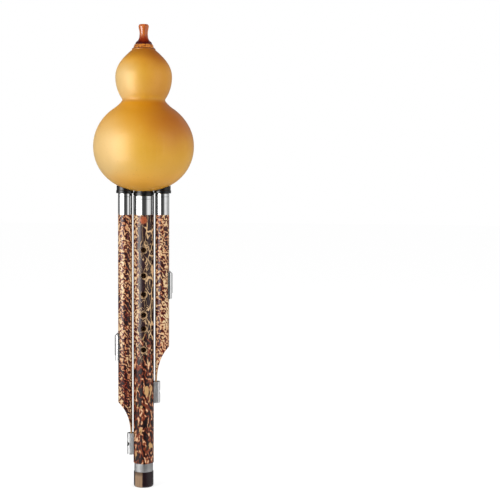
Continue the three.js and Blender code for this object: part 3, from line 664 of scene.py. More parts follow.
PALE_TO_DARK = [
    (0.0, (238, 214, 172)), (0.30, (224, 188, 138)), (0.41, (184, 116, 74)),
    (0.50, (128, 54, 36)), (0.63, (86, 28, 22)), (0.85, (38, 14, 16)),
]
RED_TO_DARK = [
    (0.0, (244, 200, 158)), (0.17, (226, 172, 126)), (0.24, (138, 64, 36)),
    (0.48, (112, 48, 26)), (0.58, (50, 18, 13)), (0.8, (24, 10, 11)),
]
CURL_SPACING = 2.9
BOLD_SPACING = 4.0
NET_SPACING = 6.4
DRONE_FOOT_SHADE = (190, 60)  # heights between which a drone darkens and reddens
DRONE_HEAD_SHADE = (240, 262)  # heights between which it reddens at its head
BOLD_STROKES = (134, 128)  # heights between which the melody pipe turns red-brown
STROKE_AREA = (13.5, 11.5)  # square of the distance from a finger hole's middle
RUST_SPOT_HEIGHT = 255.4
RUST_SPOT_EDGE = (4.9, 3.4)
RUST_SPOT_INSIDE = (4.0, 1.8)


def curls(made, offset, spacing, bias, stretch=0.85):
    """Dark curls on a pale ground, from 0 where palest to 1 where darkest: stripes bent by noise."""
    where = made.where((1, 1, stretch), offset)
    along = made.node("VectorMath", {0: where, 1: (0.6, 0.6, 0.7)}, 1, operation="DOT_PRODUCT")
    bent = made.noise(1.15 * spacing, 1.0, where=where) * 17.0
    phase = along * (2 * pi / spacing / 1.3) + bent
    breaks = made.noise(0.6 * spacing, 1.0, (1, 1, 0.8), offset)
    return made.calc("SINE", phase) * 0.34 + breaks + bias


def bamboo_base(name, seed):
    made = Finish(name, Coat_Weight=0.35, Coat_Roughness=0.14, Specular_IOR_Level=0.25)
    return made, (seed * 11.0, seed * 5.0, seed * 23.0)


def bamboo_end(made, base, offset, dark):
    """Long fibres over the pattern, in colour, gloss and relief."""
    fibre = made.noise(0.55, 2.0, (1, 1, 0.03), offset)
    base = made.over(base, made.band(fibre, 0.5, 0.8), 0.18, 90, 44, 24)
    return made.finished(base, made.scaled(fibre, 0.3, 0.46), fibre - dark * 0.5, 0.05)


def drone_finish(name, seed, shade, streak, painted_shade_turn, axis):
    """Mottled bamboo of a drone: dark curls all round, darkest in one streak, and redder towards the foot.
    The streak is turned towards the melody pipe and is painted shade between the pipes.
    """
    made, offset = bamboo_base(name, seed)
    x, y, height = made.axes(made.where())
    tilt = made.calc("COSINE", made.bearing(x - axis, y) - radians(painted_shade_turn))
    broad = made.noise(8, 1.0, (1, 1, 0.25), offset) - 0.5
    low = made.band(height, *DRONE_FOOT_SHADE)
    # a streak of thicker dark curls turned towards the melody pipe: painted shade between the pipes
    bias = made.band(tilt, 0.78, 1.0) * streak + low * 0.03 + broad + shade
    value = curls(made, offset, CURL_SPACING, bias)
    rust = made.noise(7, 2.0, (1, 1, 0.3), offset)
    head = made.band(height, *DRONE_HEAD_SHADE) * 0.8
    redness = made.band(rust, 0.4, 0.64) * made.scaled(made.most(low, head), 0.25, 0.85)
    base = made.blend(redness, made.ramp(value, PALE_TO_DARK), (226, 150, 118), "MULTIPLY")
    return bamboo_end(made, base, offset, value)


def melody_finish():
    """Mottled bamboo of the melody pipe: curls left of the front, pale branching lines on near black
    elsewhere, bold strokes on red-brown towards the foot, and a rusty spot at the head."""
    made, offset = bamboo_base("mottled_melody", 1)
    x, y, height = made.axes(made.where())
    front = made.band(y, 0.0, -2.0)
    across = made.calc("POWER", x, 2.0)
    ragged = made.noise(6, 3.0, (1, 1, 0.35), offset, rough=0.6) - 0.5
    turned = ragged * 1.6 + made.bearing(x, y)
    curled = made.most(made.sector(turned, -24, -34), made.sector(turned, 95, 120))
    pattern = made.ramp(curls(made, offset, CURL_SPACING, 0.0), PALE_TO_DARK)
    # Branching lines, and arcs round some of the finger holes
    where = made.warped(made.where((1, 1, 0.42), offset), 5.0, 4.0)
    net = made.node("TexVoronoi", {"Vector": where, "Scale": 1 / NET_SPACING}, feature="DISTANCE_TO_EDGE")
    breaks = made.noise(4.5, 1.0, (1, 1, 0.6), (9, 2, 5)) + made.sector(turned, 60, -10)
    width = made.scaled(made.band(breaks, 1.5, 0.5), 0.004, 0.075)
    line = 1.0 - made.band(net / width, 0.6, 1.1)
    level = made.noise(4.8, 1.0, where=where, Distortion=0.8)
    branch = made.band(made.calc("ABSOLUTE", level - 0.5), 0.02, 0.007)
    rises = [height - (STAVE_BOTTOM + share * STAVE_LENGTH) for share in FINGER_HOLE_SHARES]
    nearest = made.least(100.0, *[rise * rise + across for rise in rises])
    wobble = made.noise(2.6, offset=(6, 1, 8)) - 0.5
    arc = made.band(wobble * 20.0 + nearest, *STROKE_AREA) * front * made.band(breaks, 1.52, 1.36)
    line = made.most(line, branch * 0.85, arc * 0.6)
    shade = made.noise(5, 2.0, (1, 1, 0.3), offset)
    black = made.blend(shade, (52, 26, 30), (16, 8, 12))
    base = made.blend(line, black, (228, 188, 140))
    base = made.blend(curled, base, pattern)
    # Bold strokes
    bold = curls(made, (4, 9, 6), BOLD_SPACING, (shade - 0.42) * 0.9, 0.55)
    patch = made.noise(7, 2.0, (1, 1, 0.4), (3, 7, 2))
    red = made.blend(made.band(patch, 0.6, 0.63), made.ramp(bold, RED_TO_DARK), (206, 162, 106))
    base = made.blend(made.band(ragged * 130.0 + height, *BOLD_STROKES), base, red)
    # The rusty spot, with a dark edge
    along = made.calc("POWER", height - RUST_SPOT_HEIGHT, 2.0)
    rough = made.noise(3.2, 3.0, rough=0.65) - 0.5
    reach = rough * 8.0 + made.calc("SQRT", across + along)
    base = made.over(base, made.band(reach, *RUST_SPOT_EDGE) * front, 0.7, 96, 38, 26)
    rusty = made.blend(made.noise(1.6), (206, 108, 62), (132, 56, 30))
    base = made.blend(made.band(reach, *RUST_SPOT_INSIDE) * front * 0.9, base, rusty)
    return bamboo_end(made, base, offset, shade)


def bare_bamboo_finish():
    """Cut bamboo: pale, with dark fibre ends and long fibres."""
    made = Finish("bare_bamboo")
    fibre = made.noise(0.45, 3.0, (1, 1, 0.04))
    base = made.blend(fibre, (206, 168, 122), (168, 122, 80))
    vessel = made.noise(0.8, 1.0, (1, 1, 0.02), (3, 5, 1))
    base = made.over(base, made.band(vessel, 0.62, 0.72), 0.5, 96, 60, 36)
    return made.finished(base, made.scaled(fibre, 0.5, 0.68), fibre, 0.12)


def metal_finish(name, level, rough, brush, grain=(1, 1, 1), tint=(0, 0, 0)):
    """Metal with fine wear: brush is how much its roughness varies along the grain."""
    made = Finish(name, Metallic=1.0)
    lines = made.noise(0.35, 3.0, grain, rough=0.6)
    cloud = made.noise(6, 3.0, rough=0.6)
    pale, dim = [tuple(share * level + change for change in tint) for share in (1, 0.93)]
    base = made.blend(made.band(cloud, 0.45, 0.75) * 0.7, pale, dim)
    return made.finished(base, rough + lines * brush, lines, 0.01 + 0.02 * brush)


def plastic_finish():
    made = Finish("black_plastic", Coat_Weight=0.2, Coat_Roughness=0.1, Specular_IOR_Level=0.35)
    grain = made.noise(0.5)
    cloud = made.noise(5)
    base = made.blend(cloud, (11, 11, 13), (22, 21, 24))
    return made.finished(base, made.scaled(cloud, 0.16, 0.28), grain, 0.012)


def resin_finish(name, clear):
    """Clear amber-like resin: orange above, maroon in the flare, and a darker streak in the middle."""
    made = Finish(name, Coat_Weight=0.5, Coat_Roughness=0.05, IOR=1.5, Transmission_Weight=clear)
    x, _, height = made.axes(made.where())
    cloud = made.noise(5.0)
    level = (cloud - 0.5) * 5.0 + height
    base = made.blend(cloud, (238, 144, 62), (210, 98, 34))
    base = made.over(base, made.band(x, *RESIN_STREAK) * made.band(x, *RESIN_STREAK_END), 0.5, 150, 44, 14)
    base = made.over(base, made.band(level, *RESIN_DARK), 0.9, 158, 40, 12)
    base = made.blend(made.band(level, *RESIN_MAROON_END), (84, 9, 8), base)
    return made.finished(base, made.scaled(cloud, 0.06, 0.14), cloud, 0.02)


def collar_finish():
    """Clouded amber with brown spots."""
    made = Finish("amber_collar", Coat_Weight=0.5, Coat_Roughness=0.08)
    cloud = made.noise(2.4)
    spot = made.noise(1.6, offset=(4, 8, 2))
    base = made.blend(cloud, (222, 142, 52), (190, 106, 34))
    base = made.over(base, made.band(spot, 0.53, 0.6), 0.85, 110, 44, 22)
    return made.finished(base, made.scaled(cloud, 0.1, 0.2), cloud, 0.02)


def horn_finish():
    """Dark horn, near black with a purple tint, with one tan streak left of the front."""
    made = Finish("dark_horn", Coat_Weight=0.15, Coat_Roughness=0.12, Specular_IOR_Level=0.25)
    x, y, height = made.axes(made.where())
    turned = (made.noise(3.0, 3.0, (1, 1, 0.3)) - 0.5) * 0.2 + made.bearing(x, y)
    streak = made.sector(turned, -66, -58) * made.sector(turned, -5, -11)
    grain = made.noise(1.1, 3.0, (1, 1, 0.06))
    dark = made.blend(grain, (22, 13, 16), (46, 29, 34))
    pale = made.blend(made.band(height, *HORN_PALE_END), (164, 134, 106), (112, 90, 72))
    pale = made.over(pale, made.band(grain, 0.5, 0.75), 0.5, 128, 98, 72)
    return made.finished(made.blend(streak, dark, pale), made.scaled(grain, 0.22, 0.36), grain, 0.02)


def soft_finish(name, pale, deep, size, rough, depth):
    """A matt material with grains of one size, such as cork, leather, bamboo or rubber."""
    made = Finish(name)
    grain = made.noise(size, 3.0, rough=0.65)
    pits = made.band(made.noise(size * 1.8, offset=(5, 2, 8)), 0.6, 0.68)
    base = made.blend(pits * 0.5, made.blend(grain, pale, deep), deep)
    return made.finished(base, made.scaled(grain, rough - 0.08, rough + 0.06), grain - pits, depth)


gourd_skin = gourd_finish()
mottled = {
    "melody": melody_finish(),
    # the fourth and fifth numbers are how strong the painted shade streak is and how far it turns towards the
    # melody pipe
    "left": drone_finish("mottled_left", 2, -0.03, 0.17, 18, -DRONE_OFFSET),
    "right": drone_finish("mottled_right", 3, -0.05, 0.1, -24, DRONE_OFFSET),
}
bare_bamboo = bare_bamboo_finish()
chrome = metal_finish("polished_metal", 226, 0.07, 0.04)
satin = metal_finish("satin_metal", 196, 0.46, 0.1, (0.15, 0.15, 3))
bright = metal_finish("bright_fittings", 246, 0.38, 0.05)
key_metal = metal_finish("key_metal", 246, 0.21, 0.04)
brass = metal_finish("brass", 176, 0.2, 0.12, (1, 1, 1), (24, -14, -84))
steel = metal_finish("screw_steel", 60, 0.34, 0.1)
# near black metal inside the tail sleeves, which is painted shade in their rooms
sleeve_painted_shade = metal_finish("sleeve_inside_painted_shade", 26, 0.6, 0.1)
plastic = plastic_finish()
amber = resin_finish("amber_resin", 0.35)
amber_collar = collar_finish()
horn = horn_finish()
cork = soft_finish("cork", (206, 160, 106), (142, 96, 58), 0.9, 0.88, 0.12)
leather = soft_finish("pad_leather", (142, 88, 62), (96, 52, 38), 0.5, 0.8, 0.05)
rubber = soft_finish("ring_rubber", (40, 40, 43), (26, 26, 28), 0.4, 0.62, 0.015)
plain_bamboo = soft_finish("plain_bamboo", (206, 166, 112), (164, 118, 74), 0.8, 0.6, 0.05)


# Gourd

def ellipse_radius(height, centre, radius, reach, fullness_share=1.0):
    power = 2 * fullness_share
    rise = min(1, abs(height - centre) / reach)
    return radius * (1 - rise ** power) ** (1 / power)


def blended_maximum(first, second, width):
    nearness = max(0, 1 - abs(first - second) / width)
    return max(first, second) + nearness ** 2 * width / 4


def gourd_radius(height):
    if height < BELLY_CENTRE:
        return ellipse_radius(height, BELLY_CENTRE, BELLY_RADIUS, BELLY_LOWER, BELLY_FULLNESS_SHARE)
    crown_reach = CROWN_LOWER if height < CROWN_CENTRE else CROWN_UPPER
    belly = ellipse_radius(height, BELLY_CENTRE, BELLY_RADIUS, BELLY_UPPER)
    crown = ellipse_radius(height, CROWN_CENTRE, CROWN_RADIUS, crown_reach)
    body = blended_maximum(belly, crown, WAIST_BLEND)
    return body if height < CROWN_CENTRE else blended_maximum(body, NECK_RADIUS, NECK_BLEND)


def gourd_heights():
    """Close together at the foot, where the outline turns fastest, and then even."""
    heights = [BELLY_CENTRE - BELLY_LOWER * cos(radians(degrees)) for degrees in range(0, 90, 3)]
    count = 64
    heights += [BELLY_CENTRE + (GOURD_TOP - BELLY_CENTRE) * step / count for step in range(count + 1)]
    return heights


def gourd_outline(distance):
    """The outline from the lowest point up, moved outwards by the distance."""
    points = []
    for height in gourd_heights():
        radius = gourd_radius(height)
        if radius == 0:
            points.append((0, height - distance))
            continue
        above, below = gourd_radius(height + SLOPE_STEP), gourd_radius(height - SLOPE_STEP)
        slope = (above - below) / (2 * SLOPE_STEP)
        length = hypot(1, slope)
        points.append((radius + distance / length, height - distance * slope / length))
    return points


def uneven(point):
    """A grown surface: hollows of up to UNEVENNESS, none by the foot, the widest rings or the cut neck."""
    foot = min(1, max(0, (point.z - GOURD_BOTTOM) / UNEVEN_FADE - UNEVEN_START_SHARE))
    neck = min(1, max(0, (GOURD_TOP - point.z) / UNEVEN_FADE))
    lumps = noise.noise(point / LUMP_SIZE) + 0.4 * noise.noise(point / SMALL_LUMP_SIZE)
    depth = UNEVENNESS * foot * neck * min(1, max(0, 0.5 + 0.5 * lumps))
    flat = Vector((point.x, point.y, 0))
    return point - flat.normalized() * depth


def make_gourd():
    outer = gourd_outline(0)
    inner = [
        (radius, height) for radius, height in gourd_outline(-GOURD_WALL)
        if radius > NECK_HOLE - NECK_ROOM and height < GOURD_TOP - NECK_ROOM
    ]
    edge = outer[-1][0]
    rim = [
        (edge, GOURD_TOP - NECK_EDGE), (edge - NECK_EDGE, GOURD_TOP),
        (NECK_HOLE + SOFT_EDGE, GOURD_TOP), (NECK_HOLE, GOURD_TOP - SOFT_EDGE),
    ]
    inside = [(max(radius, NECK_HOLE), height) for radius, height in reversed(inner)]
    gourd = revolve(outer[:-1] + rim + inside + [(0, GOURD_BOTTOM + GOURD_WALL)], GOURD_SIDES, uneven)
    holes = []
    for voice in VOICES.values():
        hole = rod(seat_spigot(voice) + GAP, GOURD_BOTTOM - OVERRUN, GOURD_BOTTOM + 2 * SPIGOT_RISE)
        holes.append(in_place(hole, voice))
    return cut(gourd, *holes)


def in_place(mesh, voice):
    return moved(mesh, shift(voice.x))


def seat_spigot(voice):
    return shank(voice) + GAP + SEAT_WALL


def seat_bottom(voice):
    return STAVE_TOP + voice.ferrule_height + SEAT_GAP


def ferrule_bore(voice):
    return voice.ferrule - voice.ferrule_wall


def tenon(voice):
    return ferrule_bore(voice) - TENON_GAP


def shank(voice):
    return tenon(voice) - voice.shoulder


def inside_gourd(point, normal):
    reach = hypot(point.x, point.y)
    return reach < gourd_radius(point.z) - NECK_ROOM and point.z < GOURD_TOP - NECK_ROOM


add_piece(
    "gourd_fine", make_gourd(), "wind_chest", gourd_skin,
    sharp=40, second=plain_bamboo, is_second=inside_gourd,
)


# Mouthpiece

def smooth_curve(points, steps):
    """A curve through all the points."""
    curve = []
    for place in range(len(points) - 1):
        before = points[max(0, place - 1)]
        start, end = points[place], points[place + 1]
        after = points[min(len(points) - 1, place + 2)]
        for step in range(steps):
            share = step / steps
            curve.append(tuple(
                0.5 * (2 * s + (e - b) * share + (2 * b - 5 * s + 4 * e - a) * share ** 2
                       + (3 * s - b - 3 * e + a) * share ** 3)
                for b, s, e, a in zip(before, start, end, after)
            ))
    return curve + [tuple(points[-1])]


def make_mouthpiece():
    shares = [(radius * MOUTHPIECE_FLARE, MOUTHPIECE_FOOT + height * MOUTHPIECE_HEIGHT)
              for radius, height in MOUTHPIECE_SHARES]
    outside = smooth_curve(shares, 4)
    top = MOUTHPIECE_FOOT + MOUTHPIECE_HEIGHT
    bottom = MOUTHPIECE_FOOT - STEM_LENGTH
    stem = rounded([
        (MOUTHPIECE_BORE, bottom, SOFT_EDGE), (STEM_RADIUS, bottom, STEM_EDGE),
        (STEM_RADIUS, MOUTHPIECE_FOOT),
    ])
    lip = rounded([(MOUTHPIECE_BORE + MOUTHPIECE_LIP, top), (MOUTHPIECE_BORE, top - MOUTHPIECE_LIP)])
    return revolve(stem + outside + lip)


def make_cork():
    inner = STEM_RADIUS + GAP
    outer = inner + CORK_THICKNESS
    bottom = MOUTHPIECE_FOOT - STEM_LENGTH + CORK_INSET
    top = GOURD_TOP - GAP
    corners = [(inner, bottom), (outer, bottom, CORK_EDGE), (outer, top, CORK_EDGE), (inner, top)]
    return revolve(rounded(corners))


def make_collar():
    return revolve(rounded([
        (NECK_HOLE, GOURD_TOP, FINE_EDGE), (COLLAR_FOOT_RADIUS, GOURD_TOP, COLLAR_FOOT_EDGE),
        (COLLAR_TOP_RADIUS, MOUTHPIECE_FOOT, COLLAR_TOP_EDGE), (NECK_HOLE, MOUTHPIECE_FOOT, FINE_EDGE),
    ]))


add_piece("mouthpiece_fine", make_mouthpiece(), "mouthpiece", amber)
add_piece("mouthpiece_cork_fine", make_cork(), "mouthpiece", cork)
add_piece("mouthpiece_collar_fine", make_collar(), "wind_chest", amber_collar)


# Joint between each pipe and the gourd

def make_ferrule(voice):
    outer, inner = voice.ferrule, ferrule_bore(voice)
    top = STAVE_TOP + voice.ferrule_height
    line = top - LINE_DROP
    return revolve(rounded([
        (inner, STAVE_TOP), (outer, STAVE_TOP, FERRULE_EDGE),
        (outer, line - LINE_DEPTH), (outer - LINE_DEPTH, line), (outer, line + LINE_DEPTH),
        (outer, top, FERRULE_EDGE), (inner, top, FERRULE_EDGE),
    ]))


def make_seat(voice):
    flange, spigot, bore = voice.flange, seat_spigot(voice), shank(voice) + GAP
    bottom = seat_bottom(voice)
    top = bottom + FLANGE_THICKNESS
    collar = flange - COLLAR_STEP
    outside = revolve(rounded([
        (bore, bottom), (flange, bottom, FLANGE_EDGE), (flange, top, FLANGE_EDGE),
        (collar, top + COLLAR_STEP), (collar, top + COLLAR_REACH), (bore, top + COLLAR_REACH),
    ]))
    grown = revolve(gourd_outline(GAP)[:BELLY_POINTS] + [(0, BELLY_CENTRE + BELLY_UPPER)], GOURD_SIDES)
    outside = cut(in_place(outside, voice), grown)
    if voice is not MELODY_VOICE:
        clear = MELODY_VOICE.flange + FLANGE_GAP
        outside = cut(outside, rod(clear, bottom - OVERRUN, top + COLLAR_REACH + OVERRUN, PIPE_SIDES))
    inside = revolve(rounded([
        (bore, bottom + FLANGE_THICKNESS / 2), (spigot, bottom + FLANGE_THICKNESS / 2),
        (spigot, GOURD_BOTTOM + SPIGOT_RISE, SOFT_EDGE), (bore, GOURD_BOTTOM + SPIGOT_RISE),
    ]), SMALL_SIDES)
    return combined(outside, in_place(inside, voice), "UNION")


def make_tenon(voice):
    radius, bore = tenon(voice), shank(voice) - voice.tenon_wall
    shoulder = seat_bottom(voice) - THIN_GAP
    half = voice.ring + THIN_GAP
    floor = radius + RING_PROUD - 2 * voice.ring - THIN_GAP
    corners = [(bore, TENON_BOTTOM, FINE_EDGE), (radius, TENON_BOTTOM, SOFT_EDGE)]
    for height in sorted(ring_heights(voice)):
        low, high = height - half, height + half
        corners += [(radius, low), (floor, low), (floor, high), (radius, high)]
    corners += [
        (radius, shoulder, FINE_EDGE), (shank(voice), shoulder),
        (shank(voice), GOURD_BOTTOM + voice.shank_rise, FINE_EDGE), (bore, GOURD_BOTTOM + voice.shank_rise),
    ]
    return in_place(revolve(rounded(corners), SMALL_SIDES), voice)


def ring_heights(voice):
    top = seat_bottom(voice)
    return [top - share * (top - TENON_BOTTOM) for share in RING_SHARES]


def make_ring(voice, height):
    section, centre = voice.ring, tenon(voice) + RING_PROUD - voice.ring
    turns = [radians(degrees) for degrees in range(0, 360, 30)]
    loop = [(centre + section * cos(angle), height + section * sin(angle)) for angle in turns]
    return in_place(revolve(loop, SMALL_SIDES), voice)


for name, voice in VOICES.items():
    add_piece(f"{name}_ferrule_fine", in_place(make_ferrule(voice), voice), "pipes", chrome)
    add_piece(f"{name}_seat_fine", make_seat(voice), "wind_chest", plastic)
    add_piece(f"{name}_tenon_fine", make_tenon(voice), "wind_chest", brass)
    for place, height in zip(("upper", "lower"), ring_heights(voice)):
        ring = make_ring(voice, height)
        add_piece(f"{name}_{place}_o_ring_fine", ring, "wind_chest", rubber)


# Melody pipe

def make_hole(radius, share):
    """A cutter along -Y for a hole in the melody pipe, wider where it leaves the surface."""
    wide, far = radius + 3 * HOLE_DISH, MELODY_RADIUS + OVERRUN
    loop = [
        (0, 0), (radius, 0), (radius, 2 * HOLE_DISH - MELODY_RADIUS),
        (wide, -MELODY_RADIUS - HOLE_DISH), (wide, -far), (0, -far),
    ]
    return moved(revolve(loop, SMALL_SIDES), turn(-90, "X"), shift(z=STAVE_BOTTOM + share * STAVE_LENGTH))


def pipe_blank(radius, bore, foot, voice):
    """A pipe from its foot's corners up, with a spigot for its ferrule."""
    head, top = ferrule_bore(voice) - GAP, STAVE_TOP + TOP_SPIGOT
    corners = [(radius, STAVE_TOP, FINE_EDGE), (head, STAVE_TOP), (head, top), (bore, top)]
    return revolve(rounded(foot + corners))


def make_melody_pipe():
    spigot, bottom = MELODY_BORE + FOOT_SPIGOT_WALL, END_CAP_FLOOR + GAP
    foot = [
        (MELODY_BORE, bottom), (spigot, bottom), (spigot, STAVE_BOTTOM),
        (MELODY_RADIUS, STAVE_BOTTOM, FINE_EDGE),
    ]
    pipe = pipe_blank(MELODY_RADIUS, MELODY_BORE, foot, MELODY_VOICE)
    holes = [make_hole(FINGER_HOLE, share) for share in FINGER_HOLE_SHARES]
    rear = [(FINGER_HOLE, THUMB_HOLE_SHARE), (TONE_HOLE, TONE_HOLE_SHARE), (CORD_HOLE, CORD_HOLE_SHARE)]
    holes += [moved(make_hole(radius, share), turn(180)) for radius, share in rear]
    tip = MELODY_RADIUS - TAIL_SCREW_BITE - GAP
    for side in SIDES.values():
        hole = rod_along_x(TAIL_SCREW.radius + THIN_GAP, tip, MELODY_RADIUS + OVERRUN, side.sleeve_middle)
        holes.append(moved(hole, turn(180 if side.hand < 0 else 0)))
    return cut(pipe, joined(*holes))


def in_melody_bore(point, normal):
    return hypot(point.x, point.y) < MELODY_RADIUS - 2 * HOLE_DISH


def make_end_ring():
    outer, inner = MELODY_RADIUS - END_RING_INSET, MELODY_BORE + FOOT_SPIGOT_WALL + GAP
    corners = [(inner, END_CAP_HEIGHT), (outer, END_CAP_HEIGHT, FINE_EDGE)]
    first, last = [END_CAP_HEIGHT + share * END_RING_HEIGHT for share in END_RING_GROOVE_SHARES]
    depth = END_RING_GROOVE_DEPTH
    for step in range(END_RING_GROOVES):
        height = first + (last - first) * step / (END_RING_GROOVES - 1)
        corners += [(outer, height - depth), (outer - depth, height), (outer, height + depth)]
    corners += [(outer, STAVE_BOTTOM, FINE_EDGE), (inner, STAVE_BOTTOM)]
    return revolve(rounded(corners))


def make_end_cap():
    outer, socket = MELODY_RADIUS - END_CAP_INSET, MELODY_BORE + FOOT_SPIGOT_WALL + GAP
    return revolve(rounded([
        (MELODY_BORE, 0, END_CAP_BORE_EDGE), (outer, 0, END_CAP_ROUND),
        (outer, END_CAP_HEIGHT, END_CAP_TOP_EDGE), (socket, END_CAP_HEIGHT),
        (socket, END_CAP_FLOOR), (MELODY_BORE, END_CAP_FLOOR),
    ]))


add_piece(
    "melody_pipe_fine", make_melody_pipe(), "pipes", mottled["melody"],
    second=bare_bamboo, is_second=in_melody_bore,
)
add_piece("end_ring_fine", make_end_ring(), "pipes", satin)
add_piece("end_cap_fine", make_end_cap(), "pipes", horn)


# Drones, each made round its own axis with +X pointing away from the melody pipe

def bevel_cutter(side):
    """The slanted, scooped cut of a drone's tail."""
    outside, low = DRONE_RADIUS + OVERRUN, side.pipe_bottom - OVERRUN
    start = Vector((DRONE_RADIUS, side.bevel_top))
    corner = Vector((TONGUE_FACE, side.bevel_top - BEVEL_TURN_SHARE * side.tail))
    end = Vector((TONGUE_FACE, side.bevel_top - side.tail))
    loop = [(outside, start.y), *bend(start, corner, end, BEVEL_STEPS)]
    loop += [(TONGUE_FACE, low), (outside, low)]
    return prism(loop, outside)


def taper_cutters(side):
    """Both sides of the tail's narrowing, down to the tongue's width where it enters the sleeve."""
    outside, low = DRONE_RADIUS + OVERRUN, side.pipe_bottom - OVERRUN
    top = side.sleeve_top + TAPER_TOP_SHARE * side.tail
    foot = side.sleeve_top + GAP
    loop = [(TONGUE_HALF_WIDTH, low), (outside, low), (outside, top), (DRONE_RADIUS, top)]
    steps = 10
    for step in range(1, steps + 1):
        share = step / steps
        loop.append((DRONE_RADIUS + (TONGUE_HALF_WIDTH - DRONE_RADIUS) * share, top + (foot - top) * share))
    return [moved(prism(loop, outside), turn(degrees)) for degrees in (90, -90)]


def make_drone(side):
    foot = [(DRONE_BORE, side.pipe_bottom), (DRONE_RADIUS, side.pipe_bottom)]
    pipe = pipe_blank(DRONE_RADIUS, DRONE_BORE, foot, VOICES["left"])
    outside = DRONE_RADIUS + OVERRUN
    tip = DRONE_RADIUS - KEY_SCREW_LENGTH - THIN_GAP
    holes = [rod_along_x(SOUND_HOLE, 0, outside, side.pad_middle)]
    holes += [rod_along_x(KEY_SCREW.radius + THIN_GAP, tip, outside, height) for height in side.screws]
    holes.append(rod_along_x(TAIL_SCREW.radius + THIN_GAP, -outside, 0, side.sleeve_middle))
    return cut(pipe, bevel_cutter(side), *taper_cutters(side), joined(*holes))


def make_track(side):
    bottom, top = side.track_bottom, side.track_top
    track = ring_piece(TRACK_INNER, TRACK_OUTER, TRACK_HALF_ANGLE, bottom, top)
    web = TRACK_HALF_ANGLE - TRACK_WEB_ANGLE / 2
    flange_half = (TRACK_WEB_ANGLE + TRACK_FLANGE_ANGLE) / 2
    flange = TRACK_HALF_ANGLE - TRACK_WEB_ANGLE + flange_half
    for hand in (-1, 1):
        start = TRACK_INNER + THIN_GAP
        rail = ring_piece(start, TRACK_FLANGE_TOP, TRACK_WEB_ANGLE / 2, bottom, top, hand * web)
        lip = ring_piece(TRACK_FLANGE_BOTTOM, TRACK_FLANGE_TOP, flange_half, bottom, top, hand * flange)
        track = combined(combined(track, rail, "UNION"), lip, "UNION")
    slot = ring_piece(DRONE_BORE, DRONE_RADIUS + OVERRUN, SLOT_HALF_ANGLE, bottom + SLOT_END, top - SLOT_END)
    outside = DRONE_RADIUS + OVERRUN
    screws = [rod_along_x(KEY_SCREW.radius + THIN_GAP, 0, outside, height) for height in side.screws]
    return cut(track, joined(slot, *screws))


def backed_block(start, straight, back, half_width, bottom, top):
    """A block that stands between two heights, with straight sides and a back of half an ellipse."""
    steps = 24
    section = [(start, half_width), (start, -half_width)]
    for step in range(steps + 1):
        angle = pi * (step / steps - 0.5)
        section.append((straight + (back - straight) * cos(angle), half_width * sin(angle)))
    return moved(prism(section, (top - bottom) / 2), turn(90, "X"), shift(z=(top + bottom) / 2))


def make_stop_key(side):
    """Hollowed to sit round the drone and its track, with a step below and a slope on top."""
    bottom = side.key_bottom
    top = bottom + KEY_LENGTH
    inner, outer = DRONE_RADIUS + GAP - THIN_GAP / 2, DRONE_RADIUS + KEY_HEIGHT
    blank = backed_block(0, DRONE_RADIUS + KEY_SIDE_RISE, outer, KEY_HALF_WIDTH, bottom, top)
    step_radius = outer - KEY_STEP_DROP
    step_top = bottom + KEY_STEP_LENGTH
    envelope = revolve(rounded([
        (0, bottom), (step_radius, bottom, KEY_EDGE), (step_radius, step_top, KEY_EDGE),
        (outer, step_top + KEY_STEP_RISE, KEY_EDGE), (outer, top - KEY_TOP_SLOPE, KEY_EDGE),
        (DRONE_RADIUS + KEY_TOP_HEIGHT, top, KEY_EDGE), (0, top),
    ]))
    hollow = rod(inner, bottom - OVERRUN, top + OVERRUN, PIPE_SIDES)
    shell = cut(combined(blank, envelope, "INTERSECT"), hollow)
    lip_top, roof = TRACK_FLANGE_BOTTOM - GAP, TRACK_FLANGE_TOP + GAP
    mouth_half, end = KEY_CHANNEL_ANGLE - KEY_LIP_ANGLE, top - KEY_END_WALL
    mouth = ring_piece(inner - GAP, lip_top + GAP, mouth_half, bottom - OVERRUN, end)
    channel = ring_piece(lip_top, roof, KEY_CHANNEL_ANGLE, bottom - OVERRUN, end)
    return cut(shell, mouth, channel)


def make_screw(sizes, tip, seat, height):
    """A pan-head screw along X, with a cross in its head."""
    crown = seat + sizes.head_height
    body = revolve(rounded([
        (0, tip), (sizes.radius, tip, FINE_EDGE), (sizes.radius, seat),
        (sizes.head, seat), (sizes.head, crown, SCREW_ROUND_SHARE * sizes.head_height), (0, crown),
    ]), SMALL_SIDES)
    low, high = crown - DRIVE_DEPTH, crown + OVERRUN
    arm, half = DRIVE_REACH_SHARE * sizes.head, DRIVE_WIDTH / 2
    bars = [prism([(-x, low), (x, low), (x, high), (-x, high)], y) for x, y in ((arm, half), (half, arm))]
    return moved(cut(body, *bars), turn(90, "Y"), shift(z=height))


SLEEVE_CENTRE = MELODY_RADIUS + SLEEVE_HALF_DEPTH - SLEEVE_BITE - DRONE_OFFSET


